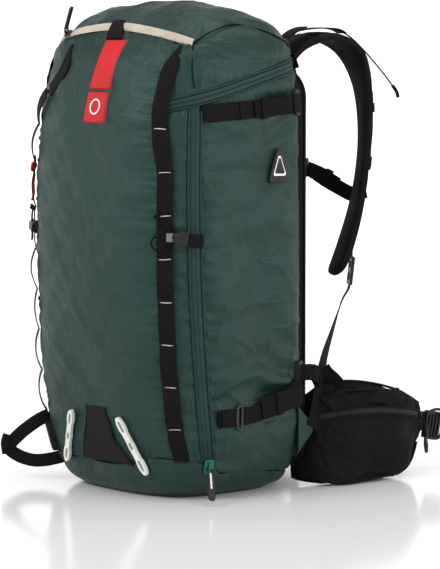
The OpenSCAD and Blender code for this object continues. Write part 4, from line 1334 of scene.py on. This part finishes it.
def lifter_pieces():
    run = mm_line([[88, 120.5, 557.5], [87, 130, 562], [85, 146, 568.5], [80, 185, 571.5],
                   [77, 218, 570.5], [76, 234, 565.5]], 80)
    main = band("f0", run, (1, 0, 0), 0.019, 0.0018, webbing)
    over = mm_line([[88, 119.6, 553], [88, 124.5, 560], [86.5, 140, 568.5], [84, 158, 573]], 40)
    back = band("f1", over, (1, 0, 0), 0.0185, 0.0016, webbing)
    drop = mm_line([[88, 121, 549], [88, 128, 543], [89, 134, 533], [91, 137, 521]], 40)
    tail = band("f2", drop, (1, 0.1, 0), 0.019, 0.0018, webbing)
    cord_line = mm_line([[78, 232, 567], [84, 245, 558], [92, 262, 540], [104, 281, 514],
                         [113, 294, 493]], 60)
    thin = band("f3", cord_line, (0.77, -0.64, 0), 0.008, 0.0018, webbing)
    end_line = mm_line([[111, 291, 498], [114, 295.5, 490], [115, 297, 483]], 16)
    stop = band("f4", end_line, (0.77, -0.64, 0), 0.0095, 0.0042, webbing)
    return [main, back, tail, thin, stop]


def build_strap_webbing():
    tails = join("tails", strap_tails())
    lifts = join("lifts", lifter_pieces())
    for side, sign, (a, b) in both_sides(tails, lifts):
        a.name = f"strap_tails_{side}"
        b.name = f"load_lifters_{side}"
        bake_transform(a)
        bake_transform(b)
        for o, replaced in ((a, f"strap_webbing_{side}"), (b, f"load_lifter_{side}")):
            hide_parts(replaced)


def build_sternum():
    right_line = mm_line([[76, 277.5, 362.5], [56, 272, 357], [28, 266, 368], [0, 262, 382],
                          [-15, 260.3, 388]], 80)
    wave = 0.0009 * waves(right_line, 0.04, 5, 4)[:, None] * np.array([0, 1.0, 0])
    strap = band("sternum_a", right_line + wave, (0, 0, 1), 0.0195, 0.0017, webbing)
    fold = mm_line([[-12, 262.8, 386.5], [8, 265.4, 380], [26, 269, 371], [33, 270.3, 368]], 40)
    second = band("sternum_b", fold, (0, 0, 1), 0.0190, 0.0016, webbing)
    keep = mm_line([[12, 265.2, 378], [16, 266.2, 376.4], [20, 267, 374.6]], 8)
    keeper = band("sternum_c", keep, (0, 0, 1), 0.0235, 0.0068, webbing, 8)
    right = join("sternum_webbing_right", [strap, second, keeper])
    place(right, "sternum_right", "black_webbing", "sternum_strap_right")
    left_line = mm_line([[-76, 277.5, 368], [-56, 270.5, 378], [-40, 263, 386.5],
                         [-31, 260.3, 389]], 60)
    left = band("sternum_webbing_left", left_line, (0, 0, 1), 0.0195, 0.0017, webbing)
    place(left, "sternum_left", "black_webbing", "sternum_strap_left")


def build_rings():
    """Bent wire ring through the lower strap's tab."""
    corners = [(-0.0130, 0.0885), (-0.0070, 0.0875), (-0.0065, 0.1010), (-0.0070, 0.1145),
               (-0.0130, 0.1135), (-0.0145, 0.1010)]
    line = catmull(np.array(corners + corners[:1]), 80)
    y, z = line[:, 0], line[:, 1]
    path = skin(side_angle(y, z), z, 0.0062)
    ring = tube("wire_ring_right", path, 0.0014, dark_metal, 10)
    place_pair(ring, "d_ring_right", "steel_ring", "d_ring_right")


def buckle_ribs():
    """Raised bars and a rim on the outer face of each hip buckle."""
    ribs = []
    for k, y in enumerate((0.3315, 0.3375, 0.3435, 0.3495)):
        line = np.array([[0.1402, y - 0.003, 0.043], [0.1408, y, 0.057], [0.1402, y + 0.003, 0.071]])
        ribs.append(tube(f"r{k}", line, 0.0016, plastic))
    rim = mm_line([[140.0, 328, 42], [140.2, 330, 73], [139.5, 354, 76], [139, 357, 60],
                   [139, 352, 40], [140.0, 328, 42]], 60)
    ribs.append(tube("r9", rim, 0.0018, plastic))
    place_pair(join("buckle_ribs_right", ribs), "hip_buckle_right", "buckle_plastic")


def build_anchor_wings():
    line = np.linspace([0.1470, 0.0935, 0.0755], [0.1470, 0.1165, 0.0755], 24)
    width = np.linspace(0.056, 0.009, 24)
    thick = np.linspace(0.0044, 0.0028, 24)
    wing = band("anchor_wing", line, (0, 0, 1), width, thick, shell, 12, 40)
    hem = tube("h", np.array([[0.1470, 0.0935, 0.1035], [0.1470, 0.1165, 0.0800],
                              [0.1470, 0.1175, 0.0755], [0.1470, 0.1165, 0.0710],
                              [0.1470, 0.0935, 0.0475]]), 0.0019, shell)
    wing = join("anchor_wing_right", [wing, hem])
    place_pair(wing, "pack", "shell_fabric")
    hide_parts("anchor_wings")


# ---- Hip belt -------------------------------------------------------------

WING_T = 0.013
WING_LINE = np.array([
    [104, 120, 7, 100], [119, 121, 5, 108], [135, 132, 3, 120],
    [144, 152, 1.8, 128], [149, 190, 1.5, 128], [149, 232, 1.8, 121],
    [145, 272, 8, 110], [140, 300, 28, 98], [138, 318, 46, 88]], float)
POCKET_LINE = np.array([
    [129, 125, 13, 104], [139, 137, 7, 113], [147, 164, 1.8, 121],
    [149.5, 196, 1.8, 121], [149.3, 232, 2.6, 116], [146, 264, 6, 108],
    [142.5, 288, 19, 98], [140.5, 303, 38, 84]], float)


def belt_axes(line, steps):
    c = catmull(line, steps) / 1000
    way = along_of(np.stack([c[:, 0], c[:, 1], 0 * c[:, 0]], -1))
    out = np.stack([way[:, 1], -way[:, 0], 0 * way[:, 0]], -1)
    base = np.stack([c[:, 0], c[:, 1], (c[:, 2] + c[:, 3]) / 2], -1)
    return base, out, (c[:, 3] - c[:, 2]) / 2


def belt_rings(line, steps, inside, outside, count, power=3.5):
    base, out, half = belt_axes(line, steps)
    t = np.linspace(0, 1, steps + 1)
    low, high = inside(t), outside(t)
    shape = oval(count, power)
    mid = base + out * ((low + high) / 2)[:, None]
    thick = ((high - low) / 2)[:, None, None]
    rings = mid[:, None] - out[:, None] * shape[None, :, :1] * thick
    return rings + UP * shape[None, :, 1:] * half[:, None, None]


def ring_normals(rings):
    around = np.roll(rings, -1, axis=1) - np.roll(rings, 1, axis=1)
    along = np.gradient(rings, axis=0)
    n = unit(np.cross(around, along))
    middle_points = rings.mean(axis=1, keepdims=True)
    sign = np.sign(((rings - middle_points) * n).sum(-1).mean())
    return n * sign


def pocket_bulge(t):
    return 0.0014 + 0.0206 * eased(t / 0.38) ** 0.8 * (1 - 0.75 * eased((t - 0.62) / 0.42))


def pocket_line_at(share, lift, count=120):
    """A line along the pocket's face at a share of its height, 0 foot to 1 top."""
    base, out, half = belt_axes(POCKET_LINE, count)
    t = np.linspace(0, 1, count + 1)
    s = 2 * share - 1
    depth = (np.clip(1 - abs(s) ** 2.6, 0, 1)) ** (1 / 2.6)
    high = pocket_bulge(t)
    reach = (0.0008 + high) / 2 + depth * (high - 0.0008) / 2 + lift
    return base + out * reach[:, None] + UP * (s * half)[:, None]


def pocket_body():
    rings = belt_rings(POCKET_LINE, 200, lambda t: 0.0008 + 0 * t, pocket_bulge, 120, 2.6)
    n = ring_normals(rings)
    top = eased((rings[..., 2] - 0.082) / 0.02)
    face = eased((n[..., 0] - 0.1) / 0.5)
    fold = creases(rings * np.array([1, 0.75, 1.5]), 0.05, 83) - 0.4
    soft = waves(rings, 0.07, 84, 6)
    small = creases(rings * np.array([1, 1, 1.2]), 0.022, 88) - 0.4
    off = (0.0022 * soft + 0.0034 * fold * (0.5 + 0.9 * top) + 0.0008 * small) * (0.2 + face)
    rings = rings + n * off[..., None]
    rings[..., 2] = np.maximum(rings[..., 2], 0.0012)
    return loft("pocket", rings, flap)


def wing_body():
    rings = belt_rings(WING_LINE, 200, lambda t: -WING_T + 0 * t, lambda t: 0 * t, 72)
    n = ring_normals(rings)
    relief = 0.0010 * waves(rings, 0.05, 91, 6) + 0.0010 * (creases(rings, 0.04, 92) - 0.4)
    groove = np.exp(-(((rings[..., 2] - 0.064) / 0.004) ** 2)) * (n[..., 0] < 0)
    rings = rings + n * (relief - 0.0022 * groove)[..., None]
    rings[..., 2] = np.maximum(rings[..., 2], 0.0012)
    return loft("wing", rings, pad_mesh)


def wing_binding():
    base, out, half = belt_axes(WING_LINE, 160)
    top = base - out * WING_T / 2 + UP * (half + 0.0002)[:, None]
    foot = base - out * WING_T / 2 - UP * (half - 0.0006)[:, None]
    return [band("b0", top, out, 0.0105, 0.0026, webbing, 3, 12),
            band("b1", foot, out, 0.0105, 0.0020, webbing, 3, 12)]


def pocket_zip():
    """Two piped edges with the coil between them."""
    line = pocket_line_at(0.765, 0.0016)[8:-8]
    upper = line + np.array([0.0010, 0, 0.0044])
    lower = line + np.array([0.0012, 0, -0.0044])
    tape = band("z0", line, (0, 0, 1), 0.0085, 0.0016, teal_free, 5, 16)
    return [tape, tube("z1", upper, 0.0014, flap), tube("z2", lower, 0.0014, flap)]


def pocket_piping():
    rows = []
    for k, share in enumerate((0.985, 0.03)):
        line = pocket_line_at(share, 0.0)
        rows.append(tube(f"p{k}", line, 0.0016, flap))
    return rows


def cord_pull():
    base = pocket_line_at(0.765, 0.004)
    spot = base[-12]
    path = catmull([spot, spot + [0.004, 0.004, -0.006], spot + [0.006, 0.007, -0.018],
                    spot + [0.005, 0.009, -0.030]], 30)
    grip = np.array([path[-1], path[-1] + [0, 0.001, -0.010], path[-1] + [0, 0.002, -0.020]])
    return [tube("g0", path, 0.0011, shock_cord),
            tube("g1", grip, [0.002, 0.0030, 0.0022], pull_rubber)]


def build_hip_belt():
    pocket = pocket_body()
    trim = join("pocket_trim", pocket_zip() + pocket_piping() + cord_pull())
    wing = wing_body()
    rim = join("wing_binding", wing_binding())
    stems = ("pocket_bag", "pocket_trim", "hip_cushion", "wing_binding")
    slots = ("black_pad", "black_webbing", "black_pad", "black_webbing")
    for side, sign, pieces in both_sides(pocket, trim, wing, rim):
        for o, stem, slot in zip(pieces, stems, slots):
            o.name = f"{stem}_{side}"
        for o in pieces[:2]:
            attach(o, f"hip_{side}")
        for o in pieces[2:]:
            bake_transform(o)
        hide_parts(f"hip_pocket_{side}")
        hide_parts(f"hip_wing_{side}")


# ---- Loops and the back ---------------------------------------------------

LOOP_FOOT = np.array([-0.126, -0.094, 0])
LOOP_TURN = math.radians(220)


def in_loop(points):
    way = np.array([math.cos(LOOP_TURN), math.sin(LOOP_TURN), 0])
    return in_axes(points, LOOP_FOOT, way, UP, np.array([-way[1], way[0], 0]))


def build_axe_loop():
    out = np.array([-math.sin(LOOP_TURN), math.cos(LOOP_TURN), 0])
    upper = catmull(in_loop([(-8, 83, -3), (6, 76, 0.6), (24, 63, 0.9), (38, 50, 0.6),
                             (46, 41, 0.2), (45, 32, -0.6)]), 70)
    lower = catmull(in_loop([(-34, 33, -7), (-14, 27, -3.5), (8, 24, -0.9), (26, 27, -1.2),
                             (40, 34, -1.4), (47, 42, -1.4), (46, 51, -1.0)]), 80)

    def flat(path):
        return np.cross(out, along_of(path))

    arms = [band("a0", upper, flat(upper), 0.0165, 0.0017, webbing),
            band("a1", lower, flat(lower), 0.0165, 0.0017, webbing)]
    fold = catmull(in_loop([(46, 57, 1.6), (49, 47, 2.2), (48, 36, 1.4)]), 30)
    arms.append(band("a2", fold, flat(fold), 0.011, 0.0017, webbing))
    loop = join("tool_loop", arms)
    place(loop, "axe_loop", "black_webbing", "axe_loop")


def build_haul_loop():
    half = 0.017
    path = catmull([[-half, 0.1165, 0.496], [-half, 0.1205, 0.515], [-half, 0.124, 0.530],
                    [-half + 0.003, 0.130, 0.544], [-0.006, 0.1365, 0.5515], [0.006, 0.1365, 0.5515],
                    [half - 0.003, 0.130, 0.544], [half, 0.124, 0.530], [half, 0.1205, 0.515],
                    [half, 0.1165, 0.496]], 120)
    turn = np.linspace(0, math.pi, len(path))
    across = np.stack([np.cos(turn), -0.9 * np.sin(turn), 0 * turn], -1)
    loop = band("haul_webbing", path, across, 0.013, 0.0024, webbing)
    patch_path = np.linspace([0, 0.1158, 0.488], [0, 0.1158, 0.508], 12)
    patch = band("haul_patch", patch_path, (1, 0, 0), 0.052, 0.0024, webbing, 10)
    place(join("haul_grip", [loop, patch]), "haul_loop", "black_webbing", "haul_loop")


BACK_Y = 0.0965
BACK_T = 0.0175
BACK_LOW = 0.026
BACK_HIGH = 0.519
BACK_W = 0.272
BACK_R = 0.034


def back_half_width(z):
    edge = np.minimum(z - BACK_LOW, BACK_HIGH - z)
    drop = BACK_R - np.sqrt(np.clip(BACK_R**2 - np.clip(BACK_R - edge, 0, BACK_R) ** 2, 0, None))
    return BACK_W / 2 - drop


def back_relief(x, z):
    """Two padded columns with an air channel between them and cross grooves."""
    channel = np.exp(-((x / 0.017) ** 2))
    grooves = sum(np.exp(-(((z - level) / 0.005) ** 2)) for level in (0.135, 0.235, 0.335, 0.435))
    column = eased((0.118 - np.abs(x)) / 0.02)
    return 0.0030 * column * (1 - channel) * (1 - 0.8 * np.clip(grooves, 0, 1)) - 0.003 * channel


def build_back():
    rows = 260
    count = 220
    rise = 0.5 - 0.5 * np.cos(np.linspace(0.06, math.pi - 0.06, rows))
    z = BACK_LOW + (BACK_HIGH - BACK_LOW) * rise
    shape = oval(count, 14)
    x = shape[None, :, 0] * back_half_width(z)[:, None]
    y = BACK_Y + BACK_T / 2 + shape[None, :, 1] * BACK_T / 2 + 0 * x
    face = eased((shape[None, :, 1] - 0.85) / 0.15)
    soft = 0.0005 * waves(np.stack([x, z[:, None] + 0 * x, 0 * x], -1), 0.03, 7)
    y = y + face * (back_relief(x, z[:, None]) + soft)
    rings = np.stack([x, y, z[:, None] + 0 * x], -1)
    back = loft("back_cushion", rings, pad_mesh)
    place(back, "pack", "black_pad", "back_panel")
    rim_z = np.concatenate([z, z[::-1]])
    rim_x = np.concatenate([back_half_width(z), -back_half_width(z[::-1])])
    rim = np.stack([rim_x, 0 * rim_x + BACK_Y + BACK_T, rim_z], -1)
    piping = tube("back_piping", np.vstack([rim, rim[:1]]), 0.0022, webbing)
    place(piping, "pack", "black_webbing")
    lumbar_z = np.linspace(0.022, 0.110, 60)
    path = np.stack([0 * lumbar_z, 0.1150 + 0.0048 + 0 * lumbar_z, lumbar_z], -1)
    dome = np.sqrt(np.clip(1 - ((lumbar_z - 0.066) / 0.0455) ** 4, 0.05, 1))
    lumbar = band("lumbar_cushion", path, (1, 0, 0), 0.200 * (0.85 + 0.15 * dome), 0.0105 * dome,
                  pad_mesh, 3.5, 60)
    place(lumbar, "pack", "black_pad")


def build_seams():
    """Raised seams over the crown and down to the main zip."""
    points = np.array([[124.3, -57.6, 552.4], [127, -37.3, 563.9], [122, 5.3, 574.5],
                       [126, 44.4, 568.4], [124, 92, 548]]) / 1000
    line = catmull(points, 120)
    z = line[:, 2]
    ridge = skin(angle_round(line, z), z, 0.0030)
    points = np.array([[124.3, -57.6, 552.4], [131.9, -66, 524.8], [138, -67, 500]]) / 1000
    drop = catmull(points, 60)
    dz = drop[:, 2]
    fall = skin(angle_round(drop, dz), dz, 0.0030)
    right = join("crown_seams_right", [tube("q0", ridge, 0.0010, seam_thread),
                                       tube("q1", fall, 0.0009, seam_thread)])
    place_pair(right, "lid", "shell_fabric")


def pull_stripe():
    """Pale stripe down the side zip's pull."""
    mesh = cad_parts["side_pull"].data
    co = np.array([v.co for v in mesh.vertices])
    center = co.mean(axis=0)
    _, _, axes = np.linalg.svd(co - center)
    way, across, out = axes
    if out[1] > 0:
        out = -out
    path = np.linspace(center - way * 0.006, center + way * 0.018, 10) + out * 0.0016
    return place(band("pull_stripe", path, across, 0.0022, 0.0006, white_print, 4, 10), "side_pull",
                 "pull_plastic")


# ---- Floor, light and camera ----------------------------------------------

def build_stage():
    """A round pale floor that bends up into a low wall; its outer part glows faintly."""
    mat, tree, shader = new_material("studio_floor")
    shader.inputs["Base Color"].default_value = (0.86, 0.86, 0.86, 1)
    shader.inputs["Roughness"].default_value = 0.14
    radius = node(tree, "ShaderNodeVectorMath", {"operation": "LENGTH"})
    tree.links.new(object_space(tree), radius.inputs[0])
    shader.inputs["Emission Color"].default_value = (1, 1, 1, 1)
    glow = ramp(tree, radius.outputs["Value"], 1.0, 2.8, 0.0, 0.58)
    link(tree, glow, shader, "Emission Strength")
    turn = np.linspace(0, 2 * math.pi, 97)
    bend = np.linspace(0, math.pi / 2, 14)
    flat = [0.001, 0.5, 1.0, 1.6, 2.4, 4.0, 8.0, 12.0]
    reach = np.concatenate([flat, 13.0 + 2.5 * np.sin(bend), [15.5]])
    rise = np.concatenate([np.zeros(8), 2.5 * (1 - np.cos(bend)), [6.0]])
    points = np.stack([reach[:, None] * np.cos(turn), reach[:, None] * np.sin(turn),
                       rise[:, None] + 0 * turn], -1)
    floor = sheet("studio_backdrop", points, points[..., :2], mat)


def area_light(name, position, target, size, power):
    light = bpy.data.lights.new(name, "AREA")
    light.shape = "RECTANGLE"
    light.size, light.size_y = size
    light.energy = power
    obj = bpy.data.objects.new(name, light)
    bpy.context.scene.collection.objects.link(obj)
    obj.location = position
    obj.rotation_euler = (Vector(target) - Vector(position)).to_track_quat("-Z", "Y").to_euler()


def build_lights():
    world = bpy.data.worlds.new("studio")
    world.use_nodes = True
    world.node_tree.nodes["Background"].inputs[0].default_value = (1, 1, 1, 1)
    world.node_tree.nodes["Background"].inputs[1].default_value = 0.40
    bpy.context.scene.world = world
    middle_point = (0, 0, 0.3)
    area_light("key", (-0.4, -2.2, 1.9), middle_point, (1.6, 1.6), 48)
    area_light("fill", (2.6, 0.2, 1.3), middle_point, (1.5, 2.0), 23)
    area_light("rim", (2.3, 1.5, 0.9), middle_point, (0.8, 1.6), 10)
    area_light("top", (0.2, 0.3, 2.6), middle_point, (2.0, 2.0), 32)


def build_camera():
    bpy.context.scene.view_settings.view_transform = "Standard"
    data = bpy.data.cameras.new("camera")
    data.sensor_fit = "VERTICAL"
    data.sensor_height = 36.0
    data.lens = 182.0
    data.clip_end = 60
    camera = bpy.data.objects.new("camera", data)
    bpy.context.scene.collection.objects.link(camera)
    camera.location = (2.749, -2.307, 0.5887)
    aim = Vector((0.0457, 0.0544, 0.2518)) - camera.location
    camera.rotation_euler = aim.to_track_quat("-Z", "Y").to_euler()
    bpy.context.scene.camera = camera


def paint_cad(names, material):
    for name in names:
        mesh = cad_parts[name].data
        mesh.materials.clear()
        mesh.materials.append(material)


def paint_all_cad():
    paint_cad(["strap_buckles", "lifter_buckles", "ladder_lock_right", "ladder_lock_left",
               "sternum_hook", "hip_buckle_female", "hip_buckle_male", "cord_button_right",
               "cord_button_left"], plastic)
    paint_cad(["side_slider", "main_slider_right", "main_slider_left"], slider_metal)
    paint_cad(["front_slider"], dark_metal)
    paint_cad(["side_pull", "front_pull"], pull_rubber)
    paint_cad(["tool_toggle_right", "tool_toggle_left"], toggle_rubber)
    paint_cad(["cord_lock_right", "cord_lock_left"], grey_plastic)
    paint_cad(["d_ring_right", "d_ring_left"], steel)
    paint_cad(["frame_sheet"], sheet_plastic)
    paint_cad(["frame_stays"], aluminium)
    paint_cad(["tool_divider"], lining)
    paint_cad(["wear_patches"], rubber)


build_shell()
base_cup()
build_lid()
build_side_zip()
build_main_zips()
build_front_zip()
build_daisies()
build_side_straps()
build_red_tab()
build_patches()
build_holders()
build_red_cord()
build_shoulder_pads()
build_strap_webbing()
build_sternum()
build_anchor_wings()
build_rings()
buckle_ribs()
build_hip_belt()
build_axe_loop()
build_haul_loop()
build_back()
build_seams()
pull_stripe()
paint_all_cad()
build_stage()
build_lights()
build_camera()
